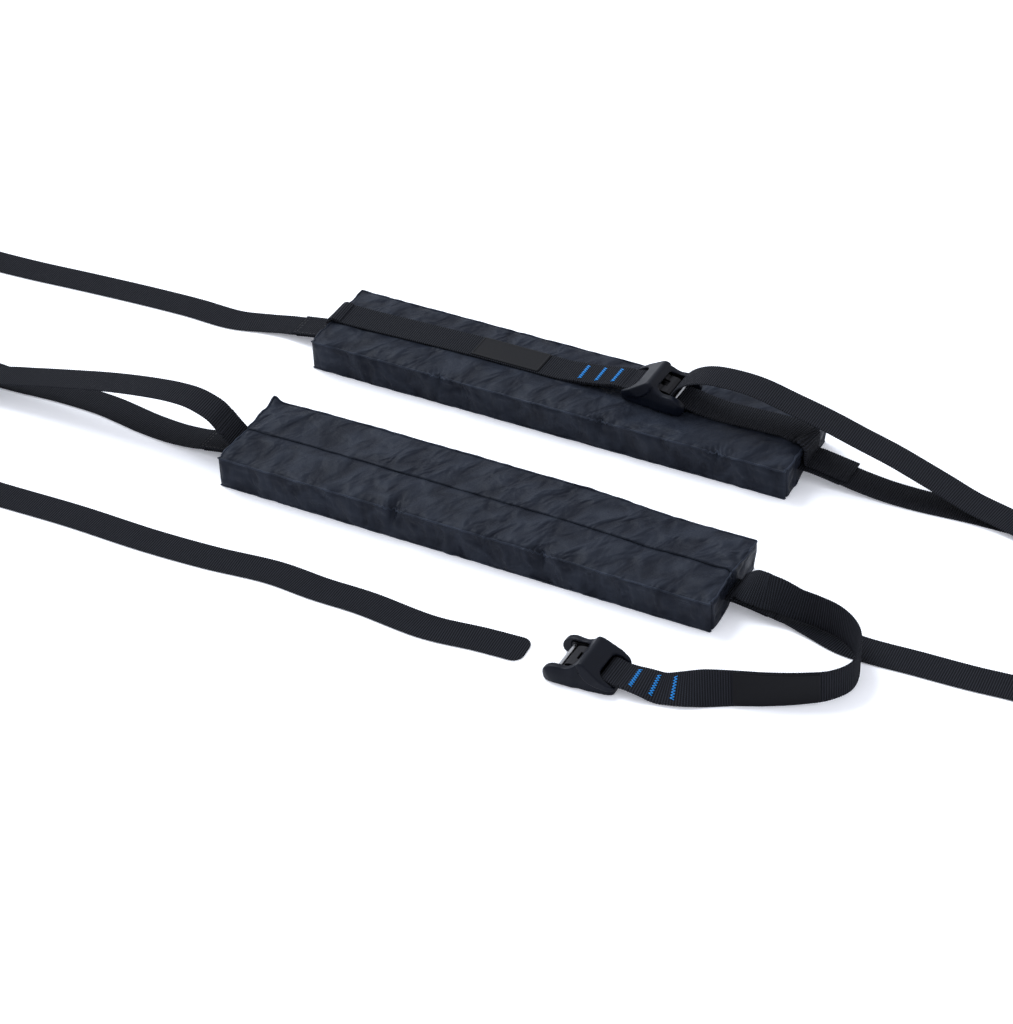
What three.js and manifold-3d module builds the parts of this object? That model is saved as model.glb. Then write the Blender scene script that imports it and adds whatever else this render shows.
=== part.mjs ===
// A soft roof rack: two padded bars with webbing straps and cam buckles, lying on a floor.
// X runs along the pads, Y from the front pad to the rear pad, Z up. Millimetres.
import * as THREE from "three";
import { mergeVertices } from "three/addons/utils/BufferGeometryUtils.js";
import Module from "manifold-3d";

const wasm = await Module();
wasm.setup();

// Clearances.
const REST_GAP = 0.3; // between pieces that rest on each other or are sewn together
const PIN_GAP = 0.15; // between a rod and its hole, measured on the radius

// Padded bar: a sewn nylon cover over a foam block.
const PAD_LENGTH = 590;
const PAD_WIDTH = 116;
const PAD_HEIGHT = 38;
const PAD_FLAT = 44; // width of the level band along the middle of the top
const PAD_CROWN = 2; // drop of the top from that band to the long edges
const PAD_ROUND = 5; // rounding of the long edges
const COVER_WALL = 1.2;
const PIPING_RADIUS = 1.6; // corded seam along each long top edge
const LAP_WIDTH = 9; // lapped seam along the middle of the top
const LAP_RISE = 0.6;
const PAD_SPACING = 234.4; // between the pads' centre lines
const PAD_STAGGER = 22.6; // the front pad lies this much further along X
const WEB_EXIT = 14; // height of the roof webbing inside the pad

// Webbing.
const WEB_WIDTH = 38;
const WEB_THICK = 1.8;
const WEB_PASSAGE = 2.6; // height of the slots and of the foam's passage
const WEB_CORNER = 0.4;
const PATCH_LENGTH = 52; // sewn overlap on the roof webbing beyond each pad end
const PATCH_DROP = 7; // how far the webbing sinks along that overlap
const COIL_INSIDE = 44; // radius of the innermost turn of a put-away strap
const COIL_PITCH = 14.5;
const COIL_LIFT = 2.1; // height of a coil above the floor, for its tie
const ROOF_SPARE = 800; // length wound in each roof coil
const LOAD_SPARE = 1300; // length wound in the rear load coil
const HANK_LENGTH = 250; // of the folds in the front load strap
const TIE_WIDTH = 20;
const TIE_THICK = 1.4;

// Rubber labels and bar tacks on the buckle straps.
const LABEL_LENGTH = 86;
const LABEL_WIDTH = 35;
const LABEL_THICK = 1.4;
const TACK_LENGTH = 26; // across the strap
const TACK_WIDTH = 2.8;
const TACK_THICK = 0.7;
const TACK_PITCH = 21;
const TACK_COUNT = 3;
const TACK_FIRST = 12; // from the strap's buckle end to the first tack

// Cam buckle. u runs from the sewn strap to the load strap, v across, w up from its underside.
const FRAME_INSIDE = 39.6; // between the cheeks
const FRAME_WALL = 2;
const BOOT_FLOOR = 2.4;
const REAR_BAR_U = -24;
const REAR_BAR_W = 11;
const REAR_BAR_RADIUS = 2.5;
const FRONT_BAR_U = 24;
const FRONT_BAR_W = 12.5;
const FRONT_BAR_RADIUS = 2.2;
const PIVOT_U = 6;
const PIVOT_W = 14.5;
const PIVOT_RADIUS = 2;
const CAM_WIDTH = 30;
const CAM_REACH = 12.9; // from the pivot to the tips of the teeth
const CAM_BOSS = 5;
const TOOTH_COUNT = 5;
const TOOTH_DEPTH = 0.8;
const SPRING_WIRE = 0.6; // radius
const SPRING_COIL = 3.2; // mean radius
const SPRING_TURNS = 4;
const SPRING_ROOM = 11; // width of the notch in the cam
const BOOT_LENGTH = 78;
const BOOT_WIDTH = 58;
const BOOT_HEIGHT = 31.5;
const BOOT_CHANNEL = 39.4; // width of the two windows, between the lips over the cheeks
const REAR_BUCKLE = [103, 128, PAD_HEIGHT + LAP_RISE + REST_GAP]; // middle of its underside
const FRONT_BUCKLE = [222, -283, REST_GAP];

const FRONT = [PAD_STAGGER / 2, -PAD_SPACING / 2];
const REAR = [-PAD_STAGGER / 2, PAD_SPACING / 2];

const rack = new THREE.Group();
const finish = (color, roughness, metalness = 0) =>
  new THREE.MeshStandardMaterial({ color, roughness, metalness });

// Geometry helpers.
function solid(geometry) {
  const bare = geometry.index ? geometry.toNonIndexed() : geometry.clone();
  bare.deleteAttribute("normal");
  bare.deleteAttribute("uv");
  const merged = mergeVertices(bare, 1e-4);
  return new wasm.Manifold(
    new wasm.Mesh({
      numProp: 3,
      vertProperties: merged.attributes.position.array,
      triVerts: new Uint32Array(merged.index.array),
    }),
  );
}

function surface(body) {
  const mesh = body.getMesh();
  return new THREE.BufferGeometry()
    .setAttribute("position", new THREE.BufferAttribute(mesh.vertProperties, 3))
    .setIndex(new THREE.BufferAttribute(mesh.triVerts, 1));
}

function add(group, name, shape, material) {
  const geometry = shape.isBufferGeometry ? shape : surface(shape);
  if (!geometry.attributes.normal) geometry.computeVertexNormals();
  const mesh = new THREE.Mesh(geometry, material);
  mesh.name = name;
  group.add(mesh);
  return mesh;
}

const block = (x, y, z) =>
  new THREE.BoxGeometry(x[1] - x[0], y[1] - y[0], z[1] - z[0]).translate(
    (x[0] + x[1]) / 2,
    (y[0] + y[1]) / 2,
    (z[0] + z[1]) / 2,
  );

// A profile in (u, w) carried across v, centred.
const across = (shape, width) =>
  new THREE.ExtrudeGeometry(shape, { depth: width, bevelEnabled: false, curveSegments: 8 })
    .rotateX(Math.PI / 2)
    .translate(0, width / 2, 0);

// A section in (v, w) carried along u from start, with its ends rounded by bevel.
function along(shape, start, length, bevel = 0) {
  const geometry = new THREE.ExtrudeGeometry(shape, {
    depth: length - 2 * bevel,
    bevelEnabled: bevel > 0,
    bevelThickness: bevel,
    bevelSize: bevel,
    bevelOffset: -bevel,
    bevelSegments: 2,
    curveSegments: 5,
  });
  const axes = new THREE.Matrix4().makeBasis(
    new THREE.Vector3(0, 1, 0),
    new THREE.Vector3(0, 0, 1),
    new THREE.Vector3(1, 0, 0),
  );
  return geometry.applyMatrix4(axes).translate(start + bevel, 0, 0);
}

// A plan outline in (u, v) carried upwards.
const upright = (shape, low, high) =>
  new THREE.ExtrudeGeometry(shape, {
    depth: high - low,
    bevelEnabled: false,
    curveSegments: 8,
  }).translate(0, 0, low);

const rod = (radius, length, u, w, sides = 16) =>
  new THREE.CylinderGeometry(radius, radius, length, sides).translate(u, 0, w);

const polygon = (points) => new THREE.Shape(points.map(([a, b]) => new THREE.Vector2(a, b)));

function roundedRectangle(x, y, radius) {
  const shape = new THREE.Shape();
  shape.moveTo(x[0] + radius, y[0]);
  shape.lineTo(x[1] - radius, y[0]);
  shape.quadraticCurveTo(x[1], y[0], x[1], y[0] + radius);
  shape.lineTo(x[1], y[1] - radius);
  shape.quadraticCurveTo(x[1], y[1], x[1] - radius, y[1]);
  shape.lineTo(x[0] + radius, y[1]);
  shape.quadraticCurveTo(x[0], y[1], x[0], y[1] - radius);
  shape.lineTo(x[0], y[0] + radius);
  shape.quadraticCurveTo(x[0], y[0], x[0] + radius, y[0]);
  return shape;
}

// Padded bars.
function padSection(inset) {
  const half = PAD_WIDTH / 2 - inset;
  const flat = PAD_FLAT / 2;
  const low = inset;
  const high = PAD_HEIGHT - inset;
  const edge = high - PAD_CROWN;
  const round = Math.max(PAD_ROUND - inset, 1);
  const shape = new THREE.Shape();
  shape.moveTo(-half + round, low);
  shape.lineTo(half - round, low);
  shape.quadraticCurveTo(half, low, half, low + round);
  shape.lineTo(half, edge - round);
  shape.quadraticCurveTo(half, edge, half - round, edge);
  shape.quadraticCurveTo((half + flat) / 2, high, flat, high);
  shape.lineTo(-flat, high);
  shape.quadraticCurveTo(-(half + flat) / 2, high, -half + round, edge);
  shape.quadraticCurveTo(-half, edge, -half, edge - round);
  shape.lineTo(-half, low + round);
  shape.quadraticCurveTo(-half, low, -half + round, low);
  return shape;
}

function padCover() {
  const half = PAD_LENGTH / 2;
  let body = solid(along(padSection(0), -half, PAD_LENGTH, PAD_ROUND / 2));
  const ridge = PAD_HEIGHT - PAD_CROWN - PIPING_RADIUS;
  for (const side of [-1, 1]) {
    const piping = new THREE.CylinderGeometry(PIPING_RADIUS, PIPING_RADIUS, PAD_LENGTH - PAD_ROUND * 2, 8)
      .rotateZ(Math.PI / 2)
      .translate(0, side * (PAD_WIDTH / 2 - PIPING_RADIUS), ridge);
    body = body.add(solid(piping));
  }
  const lap = block(
    [-half + PAD_ROUND, half - PAD_ROUND],
    [-LAP_WIDTH / 2, LAP_WIDTH / 2],
    [PAD_HEIGHT - COVER_WALL, PAD_HEIGHT + LAP_RISE],
  );
  const inside = along(padSection(COVER_WALL), -half + COVER_WALL, PAD_LENGTH - 2 * COVER_WALL);
  const slots = block(
    [-half - 1, half + 1],
    [-WEB_WIDTH / 2 - REST_GAP, WEB_WIDTH / 2 + REST_GAP],
    [WEB_EXIT - WEB_PASSAGE / 2, WEB_EXIT + WEB_PASSAGE / 2],
  );
  return body.add(solid(lap)).subtract(solid(inside)).subtract(solid(slots));
}

function padFoam() {
  const inset = COVER_WALL + REST_GAP;
  const half = PAD_LENGTH / 2 - inset;
  const passage = block(
    [-half - 1, half + 1],
    [-WEB_WIDTH / 2 - REST_GAP, WEB_WIDTH / 2 + REST_GAP],
    [WEB_EXIT - WEB_PASSAGE / 2, WEB_EXIT + WEB_PASSAGE / 2],
  );
  return solid(along(padSection(inset), -half, 2 * half)).subtract(solid(passage));
}

// Height of a strap's middle where its lower edge rests on the floor, for a lean in radians.
const resting = (lean, thick = WEB_THICK) =>
  REST_GAP + (WEB_WIDTH / 2) * Math.abs(Math.sin(lean)) + (thick / 2) * Math.abs(Math.cos(lean));

// Webbing. A route is a list of points [x, y, z, lean, thickness]: lean turns the strap's width from
// level along Y (0) up onto its edge (90). The strap is carried along a smooth curve through them,
// and never sinks below the floor.
function stations(route, perSpan = 3) {
  const lifted = route.map(([x, y, z, degrees = 0, thick]) => {
    const least = resting(THREE.MathUtils.degToRad(degrees), thick);
    return new THREE.Vector3(x, y, Math.max(z, least));
  });
  const curve = new THREE.CatmullRomCurve3(lifted, false, "centripetal");
  const spans = route.length - 1;
  const list = [];
  for (let i = 0; i <= spans * perSpan; i++) {
    const t = i / (spans * perSpan);
    const span = Math.min(Math.floor(t * spans), spans - 1);
    const mix = t * spans - span;
    const value = (k, fallback) =>
      THREE.MathUtils.lerp(route[span][k] ?? fallback, route[span + 1][k] ?? fallback, mix);
    const lean = THREE.MathUtils.degToRad(value(3, 0));
    const forward = curve.getTangent(t);
    const side = new THREE.Vector3(0, Math.cos(lean), Math.sin(lean));
    side.addScaledVector(forward, -side.dot(forward)).normalize();
    const face = new THREE.Vector3().crossVectors(forward, side);
    const thick = value(4, WEB_THICK);
    const at = curve.getPoint(t);
    at.z = Math.max(at.z, resting(lean, thick));
    list.push({ at, forward, side, face, thick });
  }
  let run = 0;
  list.forEach((one, i) => {
    run += i ? one.at.distanceTo(list[i - 1].at) : 0;
    one.run = run;
  });
  return list;
}

// The strap's section has eight corners; each ring of them stands square to the route. The upper broad
// face is split along the same diagonal as the lower one, so that they stay apart where the strap twists.
function sweep(list, width = WEB_WIDTH) {
  const position = [];
  for (const { at, side, face, thick } of list) {
    const a = width / 2;
    const b = thick / 2;
    const corner = Math.min(WEB_CORNER, thick / 3);
    const section = [
      [a - corner, -b], [a, -b + corner], [a, b - corner], [a - corner, b],
      [-a + corner, b], [-a, b - corner], [-a, -b + corner], [-a + corner, -b],
    ];
    for (const [p, q] of section) {
      const point = at.clone().addScaledVector(side, p).addScaledVector(face, q);
      position.push(point.x, point.y, point.z);
    }
  }
  const count = 8;
  const upper = 3;
  const index = [];
  for (let ring = 0; ring < list.length - 1; ring++) {
    for (let k = 0; k < count; k++) {
      const a = ring * count + k;
      const b = ring * count + ((k + 1) % count);
      if (k === upper) index.push(a, a + count, b, b, a + count, b + count);
      else index.push(a, b + count, b, a, a + count, b + count);
    }
  }
  const last = (list.length - 1) * count;
  for (let k = 1; k < count - 1; k++) {
    index.push(0, k, k + 1);
    index.push(last, last + k + 1, last + k);
  }
  const geometry = new THREE.BufferGeometry();
  geometry.setAttribute("position", new THREE.Float32BufferAttribute(position, 3));
  geometry.setIndex(index);
  // The rings may run either way round, so the faces are turned outwards by the signed volume.
  if (signedVolume(position, index) < 0) {
    for (let i = 0; i < index.length; i += 3) [index[i + 1], index[i + 2]] = [index[i + 2], index[i + 1]];
    geometry.setIndex(index);
  }
  return geometry;
}

function signedVolume(position, index) {
  const corner = (i) => new THREE.Vector3().fromArray(position, index[i] * 3);
  let volume = 0;
  for (let i = 0; i < index.length; i += 3) {
    volume += corner(i).dot(corner(i + 1).cross(corner(i + 2))) / 6;
  }
  return volume;
}

const webbing = (route, perSpan = 3) => sweep(stations(route, perSpan));

// The station at a distance along a strap, between the two rings on either side of it.
function stationAt(list, run) {
  const next = Math.max(1, list.findIndex((one) => one.run >= run));
  const [before, after] = [list[next - 1], list[next]];
  const mix = (run - before.run) / (after.run - before.run);
  const between = (key) => before[key].clone().lerp(after[key], mix);
  const thick = THREE.MathUtils.lerp(before.thick, after.thick, mix);
  return { at: between("at"), side: between("side"), face: between("face"), thick, run };
}

// A flat piece sewn on a strap between two distances along it, on one of its faces.
function onStrap(list, from, to, width, thick, face) {
  const inside = list.filter(({ run }) => run > from + 1 && run < to - 1);
  return sweep(
    [stationAt(list, from), ...inside, stationAt(list, to)].map((one) => ({
      ...one,
      at: one.at.clone().addScaledVector(one.face, face * (one.thick / 2 + REST_GAP + thick / 2)),
      thick,
    })),
    width,
  );
}

// The roof webbing passes through the pad and sinks towards the floor beyond both ends.
function roofWeb([x, y]) {
  const end = PAD_LENGTH / 2;
  const route = [];
  for (const side of [-1, 1]) {
    const half = [
      [x + side * (end - 20), y, WEB_EXIT],
      [x + side * (end + 6), y, WEB_EXIT],
      [x + side * (end + 0.5 * PATCH_LENGTH), y, WEB_EXIT - 0.35 * PATCH_DROP],
      [x + side * (end + PATCH_LENGTH + 4), y, WEB_EXIT - PATCH_DROP],
    ];
    if (side < 0) route.push(...half.reverse());
    else route.push(...half);
  }
  return webbing(route);
}

// A branch strap's root is sewn on the roof webbing, folds back at the pad's end and rises from there.
// side is the pad end, sewn how far across its stitched stretch lies from the pad's centre line, and
// rise the points of the rising leg after the fold, as [out, across, up, lean, thickness].
function strapRoot([x, y], side, sewn, rise) {
  const end = x + side * (PAD_LENGTH / 2);
  const on = WEB_THICK + 2 * REST_GAP;
  const route = [
    [end + side * PATCH_LENGTH, y + sewn, WEB_EXIT - PATCH_DROP + on + 0.4],
    [end + side * 0.5 * PATCH_LENGTH, y + sewn, WEB_EXIT - 0.35 * PATCH_DROP + on],
    [end + side * 11, y + sewn, WEB_EXIT + on],
    [end + side * 5, y + sewn, WEB_EXIT + on + 0.4],
    ...rise.map(([out, shift, up, lean, thick]) => [end + side * out, y + shift, up, lean ?? 0, thick]),
  ];
  return webbing(route, 2);
}

const doubled = 2 * WEB_THICK;
const overTop = PAD_HEIGHT + LAP_RISE + REST_GAP;
const rearBuckleRoot = [
  [3, 0.4, WEB_EXIT + 5, 0, WEB_THICK],
  [3.2, 1.6, 27, 0, doubled],
  [3, 2.6, PAD_HEIGHT - 1, 0, doubled],
  [-2, 3.4, overTop + 3, 0, doubled],
  [-12, 4, overTop + 2.2, 0, doubled],
];
const rearLoadRoot = [
  [3, 5, WEB_EXIT + 5, 0, WEB_THICK],
  [3.2, 5, 27, 0, doubled],
  [3, 5.2, PAD_HEIGHT - 1, 0, doubled],
  [-2, 6.4, overTop + 3, 0, doubled],
  [-9, 9.4, overTop + 2.5, 0, doubled],
  [-19, 11.4, overTop + 2.2, 0, doubled],
];
const frontLoadRoot = [
  [3.6, 0, WEB_EXIT + 5, 0, WEB_THICK],
  [8, 0, 23, 0, doubled],
  [17, -1, 33.5, 0, doubled],
  [26, -2, 45, 0, doubled],
];
const frontBuckleRoot = [
  [4.6, 0, WEB_EXIT + 6.4, 0, WEB_THICK],
  [11, 0, 25, 8, doubled],
  [24, -4.4, 30, 37, doubled],
  [40, -7, 31, 60, doubled],
];

// Free straps, with points chosen by hand where they lie.
// A height of 0 lays the strap on the floor.
const onEdge = COIL_LIFT + WEB_WIDTH / 2;
const frontRoofLeft = [
  [-340.4, -117.2, 6.9], [-350, -117.2, 5.4], [-380, -116, 2.4], [-420, -112, 0], [-480, -103, 0],
  [-540, -102, 0], [-600, -106, 0], [-650, -106, 0, 4], [-695, -105, 0, 34], [-740, -104, 0, 72],
  [-775, -104, onEdge, 90], [-790, -104, onEdge, 90],
];
const frontRoofRight = [
  [363, -117.2, 6.9], [373, -117.2, 5.4], [402, -123, 2.2], [442, -133, 0], [517, -131, 0], [570, -129, 0],
  [620, -125, 0], [655, -126, 0, 16], [690, -128, 0, 52], [718, -130, onEdge - 0.6, 84],
  [735, -130.5, onEdge, 90], [748, -130.5, onEdge, 90],
];
const rearRoofLeft = [
  [-363, 117.2, 6.9], [-373, 117.2, 5.4], [-402, 113, 2.2], [-440, 105, 0], [-500, 106, 0], [-565, 104, 0],
  [-650, 99, 0], [-720, 94, 0], [-785, 92, 0], [-830, 93, 0, 24], [-875, 95, 0, 64],
  [-912, 96, onEdge, 90], [-928, 96, onEdge, 90],
];
const rearRoofRight = [
  [340.4, 117.2, 6.9], [350, 117.2, 5.4], [380, 117, 2.4], [420, 118, 0], [475, 122, 0], [530, 123, 0],
  [570, 125, 0], [604, 128, 0, 30], [632, 130, 0, 74], [650, 130.5, onEdge, 90], [664, 130.5, onEdge, 90],
];
const frontBuckleStrap = [
  [347, -124.3, 31.1, 60, doubled], [356.8, -125.5, 31.8, 69, doubled], [380, -124, 26, 82],
  [402, -122.4, 22.6, 82], [424, -126.4, 22.2, 82], [444, -137, 22.2, 82], [459, -152, 22, 83],
  [469, -174, 20, 87], [470, -197, 0, 90], [457, -218, 0, 88], [434, -234, 0, 82],
  [402, -250, 0, 75], [371, -262, 0, 68], [346, -271, 0, 54], [324, -277, 0, 32, doubled],
  [304, -280.4, 0, 17, doubled], [284, -282.4, 10.4, 6, doubled],
  [271, -283, REAR_BAR_W + REST_GAP, 0, doubled], [262.4, -283, REAR_BAR_W + REST_GAP, 0, doubled],
];
const rearBuckleStrap = [
  [-293.6, 121.3, overTop + 1.6], [-270, 122, overTop + 0.9], [-215, 124, overTop + 0.9],
  [-160, 126, overTop + 0.9], [-126, 127, overTop + 0.9], [-84, 127, overTop + 0.9],
  [-42, 127, overTop + 0.9], [-16, 127, overTop + 1], [4, 127.4, overTop + 2.4, 0, doubled],
  [24, 127.8, overTop + 4.6, 0, doubled], [42, 128, overTop + 8, 0, doubled],
  [54, 128, overTop + REAR_BAR_W, 0, doubled], [62.6, 128, overTop + REAR_BAR_W, 0, doubled],
];
const rearLoadStrap = [
  [264.3, 128.68, overTop + 2.2], [254.3, 130.68, overTop + 1.9], [215, 130.6, overTop + 0.9],
  [180, 129, overTop + 1.2], [155, 128, overTop + 4.4], [138, 128, overTop + 7.8],
  [127, 128, overTop + 8.9], [124.4, 128, overTop + 10], [123.4, 128, overTop + 12.6],
  [123.6, 128, overTop + 16], [126, 128, overTop + 21], [133, 128, overTop + 30],
  [146, 128, overTop + 39], [163, 128, overTop + 45], [190, 128, overTop + 47.6],
  [222, 128, overTop + 46], [261, 128, overTop + 37], [302, 128, 66], [342, 128, 54],
  [380, 128, 43], [412, 128, 31.5], [440, 127, 22], [472, 124, 12.4], [508, 120, 7],
  [545, 111, 6], [572, 98, 6.2, 3], [600, 84, 0, 14], [632, 76, 0, 52], [660, 73, onEdge - 0.6, 84],
  [678, 72.5, onEdge, 90], [692, 72.5, onEdge, 90],
];
const frontLoadStrap = [
  [-310.2, -119.4, 45.9], [-318, -120, 54], [-330, -120.6, 60], [-347, -121, 64.6], [-372, -122, 65.6],
  [-410, -123, 62], [-460, -124, 54], [-515, -126, 43], [-565, -129, 33], [-610, -133, 24],
  [-650, -142, 12], [-690, -149, 6, 20], [-725, -152, 0, 56], [-755, -153, onEdge, 90],
  [-770, -153, onEdge, 90],
];
const frontLoadTail = [
  [-770, -291, onEdge, 90], [-755, -291, onEdge, 90], [-722, -291, 0, 60], [-685, -291, 0, 22],
  [-645, -291.5, 0, 2], [-560, -292, 0], [-500, -292, 0], [-400, -289.5, 0], [-300, -291, 0],
  [-224, -288, 0], [-150, -281, 0], [-92, -284, 0], [-38, -284, 0], [41, -290, 0], [100, -284, 0],
  [151, -281, 0],
];

// A strap wound on its edge: a ring with the outline of its turns. Its radius is to the middle of the
// outermost turn, for a spiral whose pitch times its length is the area between its first and last turns.
const coilRadius = (spare) => Math.sqrt(COIL_INSIDE ** 2 + (COIL_PITCH * spare) / Math.PI);

// The coil lies on the turn's side of the strap, whose end stops where it would run into the ring.
function coilCentre(route, spare, turn) {
  const [x, y] = route.at(-1);
  const heading = stations(route).at(-1).forward;
  const radius = coilRadius(spare);
  const run = Math.sqrt((WEB_THICK + REST_GAP) * (2 * radius + REST_GAP));
  return [x + heading.x * run - turn * heading.y * radius, y + heading.y * run + turn * heading.x * radius];
}

function coil(spare) {
  const outside = coilRadius(spare) + WEB_THICK / 2;
  const inside = COIL_INSIDE - WEB_THICK / 2;
  const top = COIL_LIFT + WEB_WIDTH;
  const profile = [
    [inside, COIL_LIFT], [outside, COIL_LIFT], [outside, top], [inside, top], [inside, COIL_LIFT],
  ];
  return new THREE.LatheGeometry(profile.map(([r, z]) => new THREE.Vector2(r, z)), 32).rotateX(Math.PI / 2);
}

// A tie is a band closed round the coil's section, standing across it.
function tie(from, to) {
  const low = COIL_LIFT - REST_GAP;
  const high = COIL_LIFT + WEB_WIDTH + REST_GAP;
  const outer = block(
    [from - REST_GAP - TIE_THICK, to + REST_GAP + TIE_THICK],
    [-TIE_WIDTH / 2, TIE_WIDTH / 2],
    [low - TIE_THICK, high + TIE_THICK],
  );
  const hole = block([from - REST_GAP, to + REST_GAP], [-TIE_WIDTH, TIE_WIDTH], [low, high]);
  return solid(outer).subtract(solid(hole));
}

// Buckle pieces, in (u, v, w).
const cheekInside = FRAME_INSIDE / 2;
const cheekOutside = cheekInside + FRAME_WALL;
const frameLow = BOOT_FLOOR + REST_GAP;
const frameHigh = frameLow + FRAME_WALL;

function cheekProfile(grow) {
  const rearTop = REAR_BAR_W + REAR_BAR_RADIUS + 2 + grow;
  const frontTop = FRONT_BAR_W + FRONT_BAR_RADIUS + 1.6 + grow;
  const pivotTop = PIVOT_W + PIVOT_RADIUS + 2.6 + grow;
  const shape = new THREE.Shape();
  shape.moveTo(REAR_BAR_U - 4 - grow, frameLow - grow);
  shape.lineTo(FRONT_BAR_U + 3.6 + grow, frameLow - grow);
  shape.lineTo(FRONT_BAR_U + 4.2 + grow, FRONT_BAR_W);
  shape.quadraticCurveTo(FRONT_BAR_U + 4.2 + grow, frontTop, FRONT_BAR_U, frontTop);
  shape.quadraticCurveTo(PIVOT_U + 10, frontTop, PIVOT_U + 6, pivotTop);
  shape.lineTo(PIVOT_U - 6, pivotTop);
  shape.quadraticCurveTo(PIVOT_U - 16, rearTop, REAR_BAR_U, rearTop);
  shape.quadraticCurveTo(REAR_BAR_U - 4 - grow, rearTop, REAR_BAR_U - 4 - grow, REAR_BAR_W);
  shape.closePath();
  return shape;
}

const rods = {
  rear: [REAR_BAR_RADIUS, REAR_BAR_U, REAR_BAR_W],
  front: [FRONT_BAR_RADIUS, FRONT_BAR_U, FRONT_BAR_W],
  pivot: [PIVOT_RADIUS, PIVOT_U, PIVOT_W],
};

function buckleFrame() {
  const inner = block(
    [REAR_BAR_U - 9, FRONT_BAR_U + 9],
    [-cheekInside, cheekInside],
    [frameHigh, BOOT_HEIGHT],
  );
  let body = solid(across(cheekProfile(0), 2 * cheekOutside)).subtract(solid(inner));
  for (const [radius, u, w] of Object.values(rods)) {
    body = body.subtract(solid(rod(radius + PIN_GAP, 3 * cheekOutside, u, w)));
  }
  return body;
}

function camProfile() {
  const points = [];
  const sweepFrom = THREE.MathUtils.degToRad(-40);
  const sweepTo = THREE.MathUtils.degToRad(14);
  for (let i = 0; i <= 2 * TOOTH_COUNT; i++) {
    const angle = THREE.MathUtils.lerp(sweepFrom, sweepTo, i / (2 * TOOTH_COUNT));
    const radius = CAM_REACH - (i % 2 ? 0 : TOOTH_DEPTH);
    points.push([radius * Math.cos(angle), radius * Math.sin(angle)]);
  }
  // Over the boss, up to the thumb lever and back along its underside.
  points.push([CAM_BOSS + 3, 4.4], [CAM_BOSS - 2, CAM_BOSS], [0, CAM_BOSS]);
  points.push([-CAM_BOSS - 2, 9.2], [-CAM_BOSS - 6, 8.8], [-CAM_BOSS - 12, 6], [-CAM_BOSS - 13.6, 4.6]);
  points.push([-CAM_BOSS - 12.4, 3.4], [-CAM_BOSS - 6, 4], [-CAM_BOSS, 1.4]);
  for (const angle of [200, 225, 250, 275, 300]) {
    const a = THREE.MathUtils.degToRad(angle);
    points.push([CAM_BOSS * Math.cos(a), CAM_BOSS * Math.sin(a)]);
  }
  return polygon(points.map(([a, b]) => [a + PIVOT_U, b + PIVOT_W]));
}

function buckleCam() {
  const bore = rod(PIVOT_RADIUS + PIN_GAP, 2 * CAM_WIDTH, PIVOT_U, PIVOT_W, 24);
  const springReach = SPRING_COIL + SPRING_WIRE + REST_GAP;
  const notch = block(
    [PIVOT_U - springReach, PIVOT_U + springReach],
    [-SPRING_ROOM / 2, SPRING_ROOM / 2],
    [PIVOT_W - 2 * springReach, PIVOT_W + 2 * springReach],
  );
  const legSlot = block(
    [PIVOT_U - CAM_BOSS - 9, PIVOT_U],
    [SPRING_ROOM / 2 - 4 * SPRING_WIRE - REST_GAP, SPRING_ROOM / 2],
    [PIVOT_W - 2 * springReach, PIVOT_W + 3 * springReach],
  );
  return solid(across(camProfile(), CAM_WIDTH))
    .subtract(solid(bore))
    .subtract(solid(notch))
    .subtract(solid(legSlot));
}

// A torsion spring wound on the pin, with a leg on the frame's base and one in the lever's slot.
function buckleSpring() {
  const coilPitch = (SPRING_ROOM - 5 * SPRING_WIRE) / SPRING_TURNS;
  const half = (coilPitch * SPRING_TURNS) / 2;
  const perTurn = 10;
  const count = Math.round((SPRING_TURNS + 0.5) * perTurn);
  const points = [new THREE.Vector3(PIVOT_U - 8, -half, frameHigh + SPRING_WIRE + REST_GAP)];
  for (let i = 0; i <= count; i++) {
    const angle = -Math.PI / 2 + (2 * Math.PI * i) / perTurn;
    points.push(
      new THREE.Vector3(
        PIVOT_U + SPRING_COIL * Math.cos(angle),
        -half + (2 * half * i) / count,
        PIVOT_W + SPRING_COIL * Math.sin(angle),
      ),
    );
  }
  points.push(new THREE.Vector3(PIVOT_U - CAM_BOSS - 4, half, PIVOT_W + 4.6));
  const wire = new THREE.Shape().absarc(0, 0, SPRING_WIRE, 0, 2 * Math.PI);
  return new THREE.ExtrudeGeometry(wire, {
    steps: count + 2 * perTurn,
    extrudePath: new THREE.CatmullRomCurve3(points, false, "centripetal"),
    curveSegments: 3,
  });
}

// The strap's end turns round the rear bar and lies doubled behind it.
function buckleLoop() {
  const inner = REAR_BAR_RADIUS + REST_GAP;
  const outer = inner + WEB_THICK;
  const tail = REAR_BAR_U - BOOT_LENGTH / 5;
  const shape = new THREE.Shape();
  shape.moveTo(tail, REAR_BAR_W - WEB_THICK);
  shape.lineTo(REAR_BAR_U - outer - 3, REAR_BAR_W - WEB_THICK);
  shape.quadraticCurveTo(REAR_BAR_U - outer, REAR_BAR_W - outer, REAR_BAR_U, REAR_BAR_W - outer);
  shape.absarc(REAR_BAR_U, REAR_BAR_W, outer, -Math.PI / 2, Math.PI / 2, false);
  shape.quadraticCurveTo(
    REAR_BAR_U - outer, REAR_BAR_W + outer, REAR_BAR_U - outer - 3, REAR_BAR_W + WEB_THICK,
  );
  shape.lineTo(tail, REAR_BAR_W + WEB_THICK);
  shape.closePath();
  const eye = rod(inner, 2 * WEB_WIDTH, REAR_BAR_U, REAR_BAR_W, 24);
  return solid(across(shape, WEB_WIDTH)).subtract(solid(eye));
}

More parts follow.
